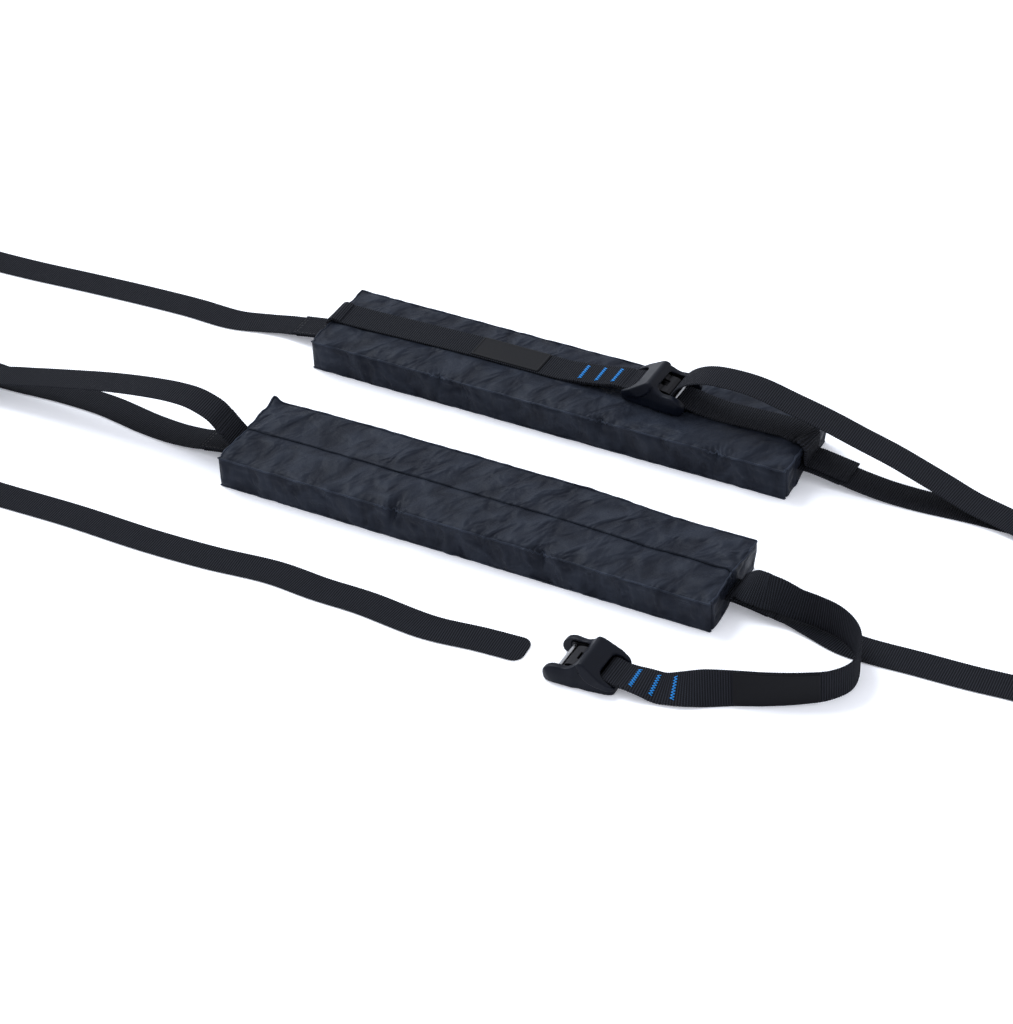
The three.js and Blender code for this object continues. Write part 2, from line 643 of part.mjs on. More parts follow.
// The rubber boot's outline from the side, from above and from the front.
function bootSide() {
  const end = BOOT_LENGTH / 2;
  const shape = new THREE.Shape();
  shape.moveTo(-end + 2, 0);
  shape.quadraticCurveTo(-end, 0, -end, 3);
  shape.lineTo(-end, 8);
  shape.quadraticCurveTo(-end, 11, -end + 4, 13);
  shape.lineTo(-8, BOOT_HEIGHT - 2);
  shape.quadraticCurveTo(-3.5, BOOT_HEIGHT + 1.6, 0, BOOT_HEIGHT - 2);
  shape.bezierCurveTo(3, BOOT_HEIGHT - 6, 7, 22, 14, 20);
  shape.lineTo(FRONT_BAR_U + 2, 18.4);
  shape.quadraticCurveTo(end - 4, 17, end - 1, 12);
  shape.quadraticCurveTo(end + 1, 7, end - 0.6, 4);
  shape.quadraticCurveTo(end - 1.4, 0, end - 6, 0);
  shape.closePath();
  return shape;
}

function bootPlan() {
  const end = BOOT_LENGTH / 2;
  const half = BOOT_WIDTH / 2;
  const shape = new THREE.Shape();
  shape.moveTo(-end, -half + 12);
  shape.quadraticCurveTo(-end, -half + 4, -end + 9, -half + 3);
  shape.lineTo(-8, -half);
  shape.lineTo(end - 16, -half);
  shape.bezierCurveTo(end - 6, -half, end + 0.6, -half + 2, end + 0.6, -half + 6);
  shape.lineTo(end + 0.6, half - 6);
  shape.bezierCurveTo(end + 0.6, half - 2, end - 6, half, end - 16, half);
  shape.lineTo(-8, half);
  shape.lineTo(-end + 9, half - 3);
  shape.quadraticCurveTo(-end, half - 4, -end, half - 12);
  shape.closePath();
  return shape;
}

function bootFront() {
  const half = BOOT_WIDTH / 2;
  const shape = new THREE.Shape();
  shape.moveTo(-half + 1.5, 0);
  shape.lineTo(half - 1.5, 0);
  shape.quadraticCurveTo(half, 0, half, 3);
  shape.lineTo(half - 1, 12);
  shape.lineTo(half - 4.5, BOOT_HEIGHT - 4);
  shape.quadraticCurveTo(half - 5.5, BOOT_HEIGHT + 1, half - 10, BOOT_HEIGHT + 1);
  shape.lineTo(-half + 10, BOOT_HEIGHT + 1);
  shape.quadraticCurveTo(-half + 5.5, BOOT_HEIGHT + 1, -half + 4.5, BOOT_HEIGHT - 4);
  shape.lineTo(-half + 1, 12);
  shape.lineTo(-half, 3);
  shape.quadraticCurveTo(-half, 0, -half + 1.5, 0);
  return shape;
}

function buckleBoot() {
  const end = BOOT_LENGTH / 2;
  const lip = BOOT_CHANNEL / 2;
  const top = BOOT_HEIGHT + 10;
  const outline = solid(across(bootSide(), 2 * BOOT_WIDTH))
    .intersect(solid(upright(bootPlan(), -1, top)))
    .intersect(solid(along(bootFront(), -end - 5, BOOT_LENGTH + 10)));
  const cheeks = solid(across(cheekProfile(REST_GAP), 2 * (cheekOutside + REST_GAP)));
  const hollow = polygon([
    [REAR_BAR_U - 8, frameLow], [REAR_BAR_U - 8, REAR_BAR_W + 2.5], [REAR_BAR_U, 16.4],
    [PIVOT_U - 18, 23.6], [PIVOT_U - 10, 28], [PIVOT_U - 7, 27.4], [PIVOT_U, 22], [PIVOT_U, frameLow],
  ]);
  const frontWindow = roundedRectangle([PIVOT_U - 1.5, end + 12], [-lip, lip], 9);
  const rearWindow = roundedRectangle([-end - 12, REAR_BAR_U + 3.5], [-lip - 1, lip + 1], 11);
  const frontMouth = block([FRONT_BAR_U + 2, end + 9], [-lip, lip], [-1, BOOT_HEIGHT]);
  return outline
    .subtract(cheeks)
    .subtract(solid(across(hollow, BOOT_CHANNEL)))
    .subtract(solid(upright(frontWindow, frameLow, top)))
    .subtract(solid(upright(rearWindow, REAR_BAR_W - WEB_THICK - 1, top)))
    .subtract(solid(frontMouth));
}

const nylon = () => finish(0x2f333d, 0.62);
const web = () => finish(0x17181c, 0.85);
const rubber = () => finish(0x22262f, 0.6);
const steel = () => finish(0xc4c6c8, 0.28, 1);

function buckle(side, [x, y, z], turned) {
  const group = new THREE.Group();
  group.position.set(x, y, z);
  group.rotation.z = turned ? Math.PI : 0;
  const width = 2 * cheekOutside - REST_GAP;
  add(group, `${side}_buckle_frame`, buckleFrame(), finish(0x8d9094, 0.4, 1));
  add(group, `${side}_buckle_rear_bar`, rod(REAR_BAR_RADIUS, width, REAR_BAR_U, REAR_BAR_W), steel());
  add(group, `${side}_buckle_front_bar`, rod(FRONT_BAR_RADIUS, width, FRONT_BAR_U, FRONT_BAR_W), steel());
  add(group, `${side}_buckle_pin`, rod(PIVOT_RADIUS, width, PIVOT_U, PIVOT_W), steel());
  add(group, `${side}_buckle_cam`, buckleCam(), finish(0x9a9da0, 0.35, 1));
  add(group, `${side}_buckle_spring`, buckleSpring(), steel());
  add(group, `${side}_buckle_boot`, buckleBoot(), rubber());
  add(group, `${side}_buckle_loop`, buckleLoop(), web());
  rack.add(group);
}

function sewnPieces(side, list, labelFrom, face) {
  const total = list.at(-1).run;
  const label = onStrap(list, labelFrom, labelFrom + LABEL_LENGTH, LABEL_WIDTH, LABEL_THICK, face);
  add(rack, `${side}_label`, label, finish(0x23252c, 0.5));
  for (let i = 0; i < TACK_COUNT; i++) {
    const middle = total - TACK_FIRST - i * TACK_PITCH;
    const from = middle - TACK_WIDTH / 2;
    const tack = onStrap(list, from, from + TACK_WIDTH, TACK_LENGTH, TACK_THICK, face);
    add(rack, `${side}_bar_tack_${i + 1}`, tack, finish(0x2f9be0, 0.6));
  }
}

// turn is +1 where the coil lies to the left of the strap's heading and -1 to the right.
function putAway(name, route, spare, turn) {
  const group = new THREE.Group();
  const [x, y] = coilCentre(route, spare, turn);
  group.position.set(x, y, 0);
  add(group, `${name}_coil`, coil(spare), web());
  const inside = Math.sqrt((COIL_INSIDE - WEB_THICK / 2) ** 2 - (TIE_WIDTH / 2) ** 2) - REST_GAP;
  const outside = coilRadius(spare) + WEB_THICK / 2;
  const band = add(group, `${name}_tie`, tie(inside, outside), finish(0x1b1c20, 0.8));
  const [endX, endY] = route.at(-1);
  band.rotation.z = Math.atan2(y - endY, x - endX);
  rack.add(group);
}

// The front load strap's spare length lies folded in a hank on its edge, between its two free stretches.
function hank() {
  const [x, y] = frontLoadStrap.at(-1);
  const far = frontLoadTail[0][1];
  const outline = roundedRectangle(
    [x - REST_GAP - HANK_LENGTH, x - REST_GAP],
    [far - WEB_THICK, y + WEB_THICK],
    1,
  );
  return upright(outline, COIL_LIFT, COIL_LIFT + WEB_WIDTH);
}

function hankTie() {
  const [x, y] = frontLoadStrap.at(-1);
  const far = frontLoadTail[0][1];
  return solid(surface(tie(far - WEB_THICK, y + WEB_THICK)).rotateZ(Math.PI / 2)).translate([
    x - HANK_LENGTH / 2, 0, 0,
  ]);
}

function bar(side, place) {
  const cover = add(rack, `${side}_cover`, padCover(), nylon());
  const foam = add(rack, `${side}_foam`, padFoam(), finish(0x3a3d42, 0.9));
  for (const piece of [cover, foam]) piece.position.set(place[0], place[1], 0);
  add(rack, `${side}_roof_web`, roofWeb(place), web());
}

bar("front", FRONT);
add(rack, "front_load_root", strapRoot(FRONT, -1, 0, frontLoadRoot), web());
add(rack, "front_buckle_root", strapRoot(FRONT, 1, 0, frontBuckleRoot), web());
bar("rear", REAR);
add(rack, "rear_load_root", strapRoot(REAR, 1, 5, rearLoadRoot), web());
add(rack, "rear_buckle_root", strapRoot(REAR, -1, 0, rearBuckleRoot), web());

const frontBuckleStations = stations(frontBuckleStrap, 3);
const rearBuckleStations = stations(rearBuckleStrap, 2);
add(rack, "front_buckle_strap", sweep(frontBuckleStations), web());
add(rack, "rear_buckle_strap", sweep(rearBuckleStations), web());
sewnPieces("front", frontBuckleStations, 206, -1);
sewnPieces("rear", rearBuckleStations, 168, 1);
buckle("front", FRONT_BUCKLE, true);
buckle("rear", REAR_BUCKLE, false);

add(rack, "front_load_strap", webbing(frontLoadStrap), web());
add(rack, "front_load_hank", hank(), web());
add(rack, "front_load_tie", hankTie(), finish(0x1b1c20, 0.8));
add(rack, "front_load_tail", webbing(frontLoadTail), web());
add(rack, "rear_load_strap", webbing(rearLoadStrap, 2), web());
putAway("rear_load", rearLoadStrap, LOAD_SPARE, -1);

add(rack, "front_roof_strap_left", webbing(frontRoofLeft, 2), web());
putAway("front_roof_left", frontRoofLeft, ROOF_SPARE, -1);
add(rack, "front_roof_strap_right", webbing(frontRoofRight, 2), web());
putAway("front_roof_right", frontRoofRight, ROOF_SPARE, -1);
add(rack, "rear_roof_strap_left", webbing(rearRoofLeft, 2), web());
putAway("rear_roof_left", rearRoofLeft, ROOF_SPARE, -1);
add(rack, "rear_roof_strap_right", webbing(rearRoofRight, 2), web());
putAway("rear_roof_right", rearRoofRight, ROOF_SPARE, 1);

export default rack;
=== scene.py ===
# %% [markdown]
# # A soft roof rack
# Two padded bars lie on a floor, each with webbing sewn to its ends. The engineering model is the
# fixed frame: every length here is in metres, and X runs along the pads, Y from the front pad to the
# rear one, Z up. The soft pieces are made again as cloth and webbing, and the metal keeps its shape.

# %% Load the fixed frame
import math

import bmesh
import bpy
import numpy as np
from mathutils import Matrix, Vector


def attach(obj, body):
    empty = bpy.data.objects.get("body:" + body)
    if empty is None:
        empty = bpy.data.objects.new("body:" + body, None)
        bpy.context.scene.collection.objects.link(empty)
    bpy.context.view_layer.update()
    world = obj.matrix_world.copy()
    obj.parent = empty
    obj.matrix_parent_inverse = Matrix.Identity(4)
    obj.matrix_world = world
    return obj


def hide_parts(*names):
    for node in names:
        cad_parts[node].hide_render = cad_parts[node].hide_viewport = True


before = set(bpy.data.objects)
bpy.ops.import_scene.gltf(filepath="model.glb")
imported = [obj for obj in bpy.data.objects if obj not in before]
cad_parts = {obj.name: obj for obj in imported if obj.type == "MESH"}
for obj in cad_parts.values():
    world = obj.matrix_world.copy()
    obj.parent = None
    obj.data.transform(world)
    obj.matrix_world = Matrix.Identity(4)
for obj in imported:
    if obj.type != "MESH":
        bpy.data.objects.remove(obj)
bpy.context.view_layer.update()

MM = 0.001

# %% [markdown]
# ## The camera
# The photograph was taken a little from above with a long lens. Its place and turn were found by
# fitting the pads' corners and the width of the webbing, and are given as the camera's own axes.

# %% Camera
IMAGE_WIDTH = 1013
SENSOR = 36.0
FOCAL_PIXELS = 3146.5
CAMERA_PLACE = (1.36522, -2.39573, 2.05936)
CAMERA_RIGHT = (0.8804, 0.4721, -0.0445)
CAMERA_BACK = (0.398, -0.6849, 0.6103)


def camera_turn(right, back):
    """A turn whose Z is back and whose X is right, with right squared up against back."""
    back = np.array(back) / np.linalg.norm(back)
    right = np.array(right) - np.dot(right, back) * back
    right /= np.linalg.norm(right)
    return Matrix(np.column_stack([right, np.cross(back, right), back]).tolist())


camera_data = bpy.data.cameras.new("camera")
camera_data.sensor_width = SENSOR
camera_data.sensor_fit = "HORIZONTAL"
camera_data.lens = FOCAL_PIXELS * SENSOR / IMAGE_WIDTH
camera_data.clip_end = 50
camera = bpy.data.objects.new("camera", camera_data)
camera.matrix_world = Matrix.Translation(CAMERA_PLACE) @ camera_turn(CAMERA_RIGHT, CAMERA_BACK).to_4x4()
bpy.context.scene.collection.objects.link(camera)
bpy.context.scene.camera = camera
print("camera: lens", round(camera_data.lens, 1), "mm")

# %% [markdown]
# ## Materials: the tools
# Colours are written as they look on a screen, in hex, and one function turns them linear. Another
# adds one node with its settings and links. Short ones name the nodes that are used most, so that each
# finish reads as a short list.


# %% Colour and node helpers
def hex_colour(text):
    """Linear RGBA of an sRGB hex colour: each channel c is c/12.92, or ((c + 0.055)/1.055)^2.4."""
    channels = [int(text[i : i + 2], 16) / 255 for i in (1, 3, 5)]
    return [c / 12.92 if c <= 0.04045 else ((c + 0.055) / 1.055) ** 2.4 for c in channels] + [1.0]


def add_node(tree, kind, settings=None, links=None, out=0):
    """A new node's output. settings are its properties or input values, and links its inputs' sources."""
    node = tree.nodes.new("ShaderNode" + kind)
    for key, value in (settings or {}).items():
        if isinstance(key, str) and hasattr(node, key):
            setattr(node, key, value)
        else:
            node.inputs[key].default_value = value
    for key, source in (links or {}).items():
        tree.links.new(source, node.inputs[key])
    return node.outputs[out]


def math_node(tree, operation, *terms):
    """The operation on its terms, each a number with a point in it or another node's output."""
    numbers = {k: term for k, term in enumerate(terms) if isinstance(term, float)}
    sources = {k: term for k, term in enumerate(terms) if k not in numbers}
    return add_node(tree, "Math", {"operation": operation, **numbers}, sources)


def noise(tree, place, scale, detail=2.0, **more):
    """Noise read at a place, with scale swells to the metre."""
    return add_node(tree, "TexNoise", {"Scale": scale, "Detail": detail, **more}, {"Vector": place})


def span(tree, value, low, high, to_low=0.0, to_high=1.0):
    """A value between low and high, carried to another span and held at its ends."""
    limits = {"From Min": low, "From Max": high, "To Min": to_low, "To Max": to_high}
    return add_node(tree, "MapRange", limits, {"Value": value})


def mix(tree, low, high, share):
    """The colour at a share of the way from low to high."""
    colours = {"data_type": "RGBA", 6: hex_colour(low), 7: hex_colour(high)}
    return add_node(tree, "Mix", colours, {0: share}, out=2)


def bump(tree, height, strength, depth, under=None):
    """The surface's direction, turned by a height whose unit is depth in metres."""
    links = {"Height": height} if under is None else {"Height": height, "Normal": under}
    return add_node(tree, "Bump", {"Strength": strength, "Distance": depth}, links)


def new_material(name, **shader):
    """A material with its main shader's values set on the shader's own sockets."""
    material = bpy.data.materials.new(name)
    material.use_nodes = True
    main = material.node_tree.nodes["Principled BSDF"]
    for key, value in shader.items():
        main.inputs[key.replace("_", " ")].default_value = value
    return material, material.node_tree


def wire(tree, **sources):
    """Links outputs to the main shader's inputs."""
    for key, source in sources.items():
        tree.links.new(source, tree.nodes["Principled BSDF"].inputs[key.replace("_", " ")])


def mottled(name, low, high, cloud, dull=None, grain=None, **shader):
    """A finish whose colour goes from low to high by a cloud of noise. cloud is (scale, detail), dull the
    span of its roughness, and grain a bump as (scale, detail, strength, depth)."""
    material, tree = new_material(name, **shader)
    place = add_node(tree, "TexCoord", out="Object")
    shade = noise(tree, place, *cloud)
    wire(tree, Base_Color=mix(tree, low, high, shade))
    if dull:
        wire(tree, Roughness=span(tree, shade, 0.0, 1.0, *dull))
    if grain:
        wire(tree, Normal=bump(tree, noise(tree, place, *grain[:2]), *grain[2:]))
    return material


# %% [markdown]
# ## Webbing
# The straps are 38 mm polypropylene webbing: thick black yarn, woven so tightly that the weft stands
# up as ribs across the tape every 2.6 mm or so, with round selvedges. The ribs are modelled, and the
# columns of the warp are a bump on the strap's own UV map, whose unit is the metre.

# %% Webbing material
RIB = 2.6 * MM
WARP = 2.0 * MM


def webbing_material():
    """Matt black yarn. Its colour is painted lighter on the ribs' crowns and darker in the hollows
    between them, a painted highlight and shade, and stray fibres give it a dull bloom. The
    yarn's height is cos(rib) + 0.45 sin(rib/2 + warp), each as an angle."""
    material, tree = new_material("polypropylene webbing", Roughness=0.8, Specular_IOR_Level=0.1)
    uv = add_node(tree, "UVMap", {"uv_map": "UVMap"})
    along, across = [
        math_node(tree, "MULTIPLY", add_node(tree, "SeparateXYZ", links={0: uv}, out=k), 2 * math.pi / step)
        for k, step in enumerate((RIB, WARP))
    ]
    lean = math_node(tree, "ADD", math_node(tree, "MULTIPLY", along, 0.5), across)
    rib, warp = math_node(tree, "COSINE", along), math_node(tree, "SINE", lean)
    yarn = math_node(tree, "MULTIPLY_ADD", warp, 0.45, rib)
    # The base colour is painted lighter on the ribs' crowns and darker in their hollows, a painted highlight
    # and shade, with a faint random dust added.
    dust_and_painted_rib_shade = add_node(
        tree,
        "Mix",
        {"data_type": "RGBA", "blend_type": "ADD", 7: hex_colour("#050506")},
        {0: noise(tree, uv, 14.0, 3.0), 6: mix(tree, "#040405", "#26282f", span(tree, yarn, -1.4, 1.4))},
        out=2,
    )
    height = math_node(tree, "MULTIPLY_ADD", noise(tree, uv, 900.0, 3.0), 0.5, yarn)
    wire(tree, Base_Color=dust_and_painted_rib_shade, Normal=bump(tree, height, 0.9, 0.45 * MM))
    return material


WEBBING = webbing_material()

# %% [markdown]
# ## From arrays to a mesh
# A surface is a grid of points. Rows run along it, columns round it, and its faces come from the same
# index arithmetic every time, so one function lists them and another hands everything to Blender.


# %% Mesh helpers
def grid_faces(rows, columns, wrap=False):
    """Quads of a grid of rows by columns. wrap joins the last column to the first."""
    last = columns if wrap else columns - 1
    row, column = np.meshgrid(np.arange(rows - 1), np.arange(last), indexing="ij")
    a = row * columns + column
    b = row * columns + (column + 1) % columns
    return np.stack([a, b, b + columns, a + columns], -1).reshape(-1, 4)


def swept_faces(rows, columns, closed=False):
    """The faces of an outline carried along a path: its end joined to its start, or both ends filled."""
    if closed:
        return [grid_faces(rows + 1, columns, wrap=True) % (rows * columns)]
    last = (rows - 1) * columns + np.arange(columns)
    return [grid_faces(rows, columns, wrap=True), np.arange(columns)[None, ::-1], last[None, :]]


def face_out(mesh):
    """Turns every face outwards where the mesh's signed volume is negative."""
    mesh.calc_loop_triangles()
    corner = np.zeros(len(mesh.vertices) * 3, np.float32)
    mesh.vertices.foreach_get("co", corner)
    triangles = np.zeros(len(mesh.loop_triangles) * 3, np.int32)
    mesh.loop_triangles.foreach_get("vertices", triangles)
    a, b, c = corner.reshape(-1, 3)[triangles.reshape(-1, 3)].transpose(1, 0, 2)
    if (a * np.cross(b, c)).sum() < 0:
        mesh.flip_normals()


def make_piece(name, points, faces, material, uv=None):
    """A mesh object from points, a list of arrays of faces, and uv for each point."""
    mesh = bpy.data.meshes.new(name)
    points = np.asarray(points, np.float32).reshape(-1, 3)
    loops = np.concatenate([f.ravel() for f in faces]).astype(np.int32)
    sizes = np.concatenate([np.full(len(f), f.shape[1]) for f in faces])
    mesh.vertices.add(len(points))
    mesh.vertices.foreach_set("co", points.ravel())
    mesh.loops.add(len(loops))
    mesh.loops.foreach_set("vertex_index", loops)
    mesh.polygons.add(len(sizes))
    mesh.polygons.foreach_set("loop_start", (np.cumsum(sizes) - sizes).astype(np.int32))
    mesh.polygons.foreach_set("use_smooth", np.ones(len(sizes), bool))
    if uv is not None:
        layer = mesh.uv_layers.new(name="UVMap")
        layer.data.foreach_set("uv", np.asarray(uv, np.float32).reshape(-1, 2)[loops].ravel())
    mesh.update(calc_edges=True)
    mesh.validate()
    mesh.materials.append(material)
    face_out(mesh)
    piece = bpy.data.objects.new(name, mesh)
    bpy.context.scene.collection.objects.link(piece)
    return piece


def dress(piece, slot, *nodes):
    """The piece stays on the rack's body and hides the nodes that it stands for. slot is not used."""
    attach(piece, "root")
    if nodes:
        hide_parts(*nodes)
    return piece


# %% [markdown]
# ## Straps as ribbons
# A strap could be a bevelled curve, but a curve turns its section as it likes. Here a route gives each
# point its lean, from lying flat to standing on edge, and the section is carried along it: a smooth
# curve through the points, a side direction from the lean, and a face direction square to both.

# %% Ribbon
WEB_WIDTH = 38 * MM
WEB_THICK = 1.8 * MM
REST_GAP = 0.3 * MM
RING_STEP = RIB / 4
RIB_RISE = 0.26 * MM
SCALLOP = 0.22 * MM
LAYER_NOTCH = 0.8 * MM


def smooth_curve(points, per_span=24):
    """Centripetal Catmull-Rom: each span is a cubic whose end tangents weigh the neighbouring spans by
    the square root of their lengths. Returns the places and how far along the list each one is."""
    p = np.vstack([2 * points[0] - points[1], points, 2 * points[-1] - points[-2]])
    gap = np.sqrt(np.linalg.norm(np.diff(p, axis=0), axis=1))[:, None]
    a, b, c = gap[:-2], gap[1:-1], gap[2:]
    p0, p1, p2, p3 = p[:-3], p[1:-2], p[2:-1], p[3:]
    start = ((p1 - p0) / a - (p2 - p0) / (a + b) + (p2 - p1) / b) * b
    end = ((p2 - p1) / b - (p3 - p1) / (b + c) + (p3 - p2) / c) * b
    t = np.linspace(0, 1, per_span, endpoint=False)[:, None, None]
    spans = (
        p1 + start * t + (3 * (p2 - p1) - 2 * start - end) * t**2 + (2 * (p1 - p2) + start + end) * t**3
    )
    places = np.vstack([spans.transpose(1, 0, 2).reshape(-1, 3), points[-1]])
    return places, np.linspace(0, len(points) - 1, len(places))


def run_along(places):
    """Distance from the start to each place."""
    return np.concatenate([[0], np.cumsum(np.linalg.norm(np.diff(places, axis=0), axis=1))])


def soften(values, width):
    """Running mean over width samples, with the ends held."""
    width = max(1, int(width)) | 1
    padded = np.concatenate([np.full(width // 2, values[0]), values, np.full(width // 2, values[-1])])
    return np.convolve(padded, np.ones(width) / width, "valid")


def route_table(route):
    """A route in millimetres as [x, y, z, lean, thickness] becomes one array in metres and radians."""
    full = [list(row) + [0, WEB_THICK / MM][len(row) - 3 :] for row in route]
    table = np.array(full, float)
    return np.column_stack([table[:, :3] * MM, np.radians(table[:, 3]), table[:, 4] * MM])


def resting(lean, thick):
    """Height of the strap's middle with its lower edge on the floor: half its width times the sine of
    the lean, and half its thickness times the cosine."""
    return REST_GAP + WEB_WIDTH / 2 * np.abs(np.sin(lean)) + thick / 2 * np.abs(np.cos(lean))


def lay_out(route):
    """Stations along a route: the place, lean and thickness. The points are lifted to where the strap
    rests before the curve is drawn, so a height of 0 lays it on the floor."""
    table = route_table(route)
    table[:, 2] = np.maximum(table[:, 2], resting(table[:, 3], table[:, 4]))
    places, share = smooth_curve(table[:, :3])
    lean = np.interp(share, np.arange(len(table)), table[:, 3])
    thick = np.interp(share, np.arange(len(table)), table[:, 4])
    places[:, 2] = np.maximum(places[:, 2], resting(lean, thick))
    return np.column_stack([places, lean, thick])


def unit(vectors):
    """Each row at length 1."""
    return vectors / np.linalg.norm(vectors, axis=1)[:, None]


def read_at(at, run, table):
    """The rows of a table at places along its run, between its own by straight lines."""
    return np.column_stack([np.interp(at, run, column) for column in table.T])


def even(stations):
    """The same stations again, a rib's share apart."""
    run = run_along(stations[:, :3])
    return read_at(np.linspace(0, run[-1], max(3, int(round(run[-1] / RING_STEP)) + 1)), run, stations)


def section():
    """The tape's outline: how far across each point is, and its share of the half thickness, which is
    negative on the lower face. The selvedges are half rounds."""
    left = np.array([0, 0.5, 0.92, 1.6, 5.0, 10.0, 15.0]) * MM - WEB_WIDTH / 2
    lift = np.array([0, 0.62, 0.93, 1.0, 1.0, 1.0, 1.0])
    upper = np.concatenate([left, -left[::-1]])
    share = np.concatenate([lift, lift[::-1]])
    return np.concatenate([upper, upper[-2:0:-1]]), np.concatenate([share, -share[-2:0:-1]])


def frames(stations):
    """Forward, side and face directions: side is (0, cos lean, sin lean) made square to forward."""
    forward = unit(np.gradient(stations[:, :3], axis=0))
    side = np.column_stack([np.zeros(len(stations)), np.cos(stations[:, 3]), np.sin(stations[:, 3])])
    side = unit(side - (side * forward).sum(1)[:, None] * forward)
    return forward, side, np.cross(forward, side)


def ribbon(name, stations, round_end=0.0):
    """Carries the tape's outline along the stations. Its thickness swells by a cosine of the run, one
    swell to a rib, its edge moves out in step, and a doubled stretch has a notch between its layers. A
    round end's corners have the radius that round_end gives."""
    _, side, face = frames(stations)
    run = run_along(stations[:, :3])
    thick = stations[:, 4:]
    across, share = section()
    wave = np.cos(2 * math.pi * run / RIB)[:, None]
    narrow = 1.0
    if round_end:
        left = np.clip((run[-1] - run) / round_end, 0, 1)[:, None]
        narrow = 1 - 2 * round_end * (1 - np.sqrt(1 - (1 - left) ** 2)) / WEB_WIDTH
    edge = 1 - np.abs(share)
    notch = LAYER_NOTCH * np.clip(thick / WEB_THICK - 1, 0, 1) * edge**2
    p = across * narrow + np.sign(across) * (edge > 0.01) * (SCALLOP * wave - notch)
    q = share * (thick + RIB_RISE * wave) / 2
    points = stations[:, None, :3] + p[..., None] * side[:, None] + q[..., None] * face[:, None]
    uv = np.stack([np.broadcast_to(run[:, None], p.shape), p], -1)
    return make_piece(name, points, swept_faces(*p.shape), WEBBING, uv)


# %% [markdown]
# ## The free straps
# Each strap is one length of tape. What the photograph doesn't show is put away: the roof straps and
# the rear load strap end in a coil on edge, and the front load strap has a hank folded into its middle.
# The routes are points given where the strap lies, in millimetres.

# %% Routes
PAD_LENGTH = 590
PAD_WIDTH = 116
PAD_HEIGHT = 38
FRONT = np.array([11.3, -117.2])
REAR = -FRONT
LAP_RISE = 0.6
OVER_TOP = PAD_HEIGHT + LAP_RISE + 0.3
EDGE_REST = 2.1
ON_EDGE = EDGE_REST + 19
DOUBLED = 3.6
REAR_BAR = (-24, 11)

FRONT_ROOF_LEFT = [
    [-329, -117.2, 9.2], [-340.4, -117.2, 6.9], [-350, -117.2, 5.4], [-380, -116, 2.4], [-420, -112, 0],
    [-480, -103, 0], [-540, -102, 0], [-600, -106, 0], [-650, -106, 0, 4], [-695, -105, 0, 34],
    [-740, -104, 0, 72], [-775, -104, ON_EDGE, 90], [-790, -104, ON_EDGE, 90],
]
FRONT_ROOF_RIGHT = [
    [352, -117.2, 9.2], [363, -117.2, 6.9], [373, -117.2, 5.4], [402, -123, 2.2], [442, -133, 0],
    [517, -131, 0], [570, -129, 0], [620, -125, 0], [655, -126, 0, 16], [690, -128, 0, 52],
    [718, -130, ON_EDGE - 0.6, 84], [735, -130.5, ON_EDGE, 90], [748, -130.5, ON_EDGE, 90],
]
REAR_ROOF_LEFT = [
    [-352, 117.2, 9.2], [-363, 117.2, 6.9], [-373, 117.2, 5.4], [-402, 113, 2.2], [-440, 105, 0],
    [-500, 106, 0], [-565, 104, 0], [-650, 99, 0], [-720, 94, 0], [-785, 92, 0], [-830, 93, 0, 24],
    [-875, 95, 0, 64], [-912, 96, ON_EDGE, 90], [-928, 96, ON_EDGE, 90],
]
REAR_ROOF_RIGHT = [
    [329, 117.2, 9.2], [340.4, 117.2, 6.9], [350, 117.2, 5.4], [380, 117, 2.4], [420, 118, 0],
    [475, 122, 0], [530, 123, 0], [570, 125, 0], [604, 128, 0, 30], [632, 130, 0, 74],
    [650, 130.5, ON_EDGE, 90], [664, 130.5, ON_EDGE, 90],
]
FRONT_BUCKLE = [
    [340, -123, 30.9, 53, 3.2], [347, -124.3, 31.1, 60, 3.3], [356.8, -125.5, 31.8, 69], [380, -124, 26, 82],
    [402, -122.4, 22.6, 82], [424, -126.4, 22.2, 82], [444, -137, 22.2, 82], [459, -152, 22, 83],
    [469, -174, 20, 87], [470, -197, 0, 90], [457, -218, 0, 88], [434, -234, 0, 82],
    [402, -250, 0, 75], [371, -262, 0, 68], [346, -271, 0, 54], [324, -277, 0, 32, DOUBLED],
    [304, -280.4, 0, 17, DOUBLED], [284, -282.4, 10.4, 6, DOUBLED],
    [271, -283, 11.3, 0, DOUBLED], [261.3, -283, 11.3, 0, DOUBLED],
]
REAR_BUCKLE = [
    [-301, 120.9, OVER_TOP + 2.3], [-293.6, 121.3, OVER_TOP + 1.6], [-270, 122, OVER_TOP + 0.9],
    [-215, 124, OVER_TOP + 0.9], [-160, 126, OVER_TOP + 0.9], [-126, 127, OVER_TOP + 0.9],
    [-84, 127, OVER_TOP + 0.9], [-42, 127, OVER_TOP + 0.9], [-16, 127, OVER_TOP + 1],
    [4, 127.4, OVER_TOP + 2.4, 0, DOUBLED], [24, 127.8, OVER_TOP + 4.6, 0, DOUBLED],
    [42, 128, OVER_TOP + 8, 0, DOUBLED],
    [54, 128, OVER_TOP + REAR_BAR[1], 0, DOUBLED], [63.7, 128, OVER_TOP + REAR_BAR[1], 0, DOUBLED],
]
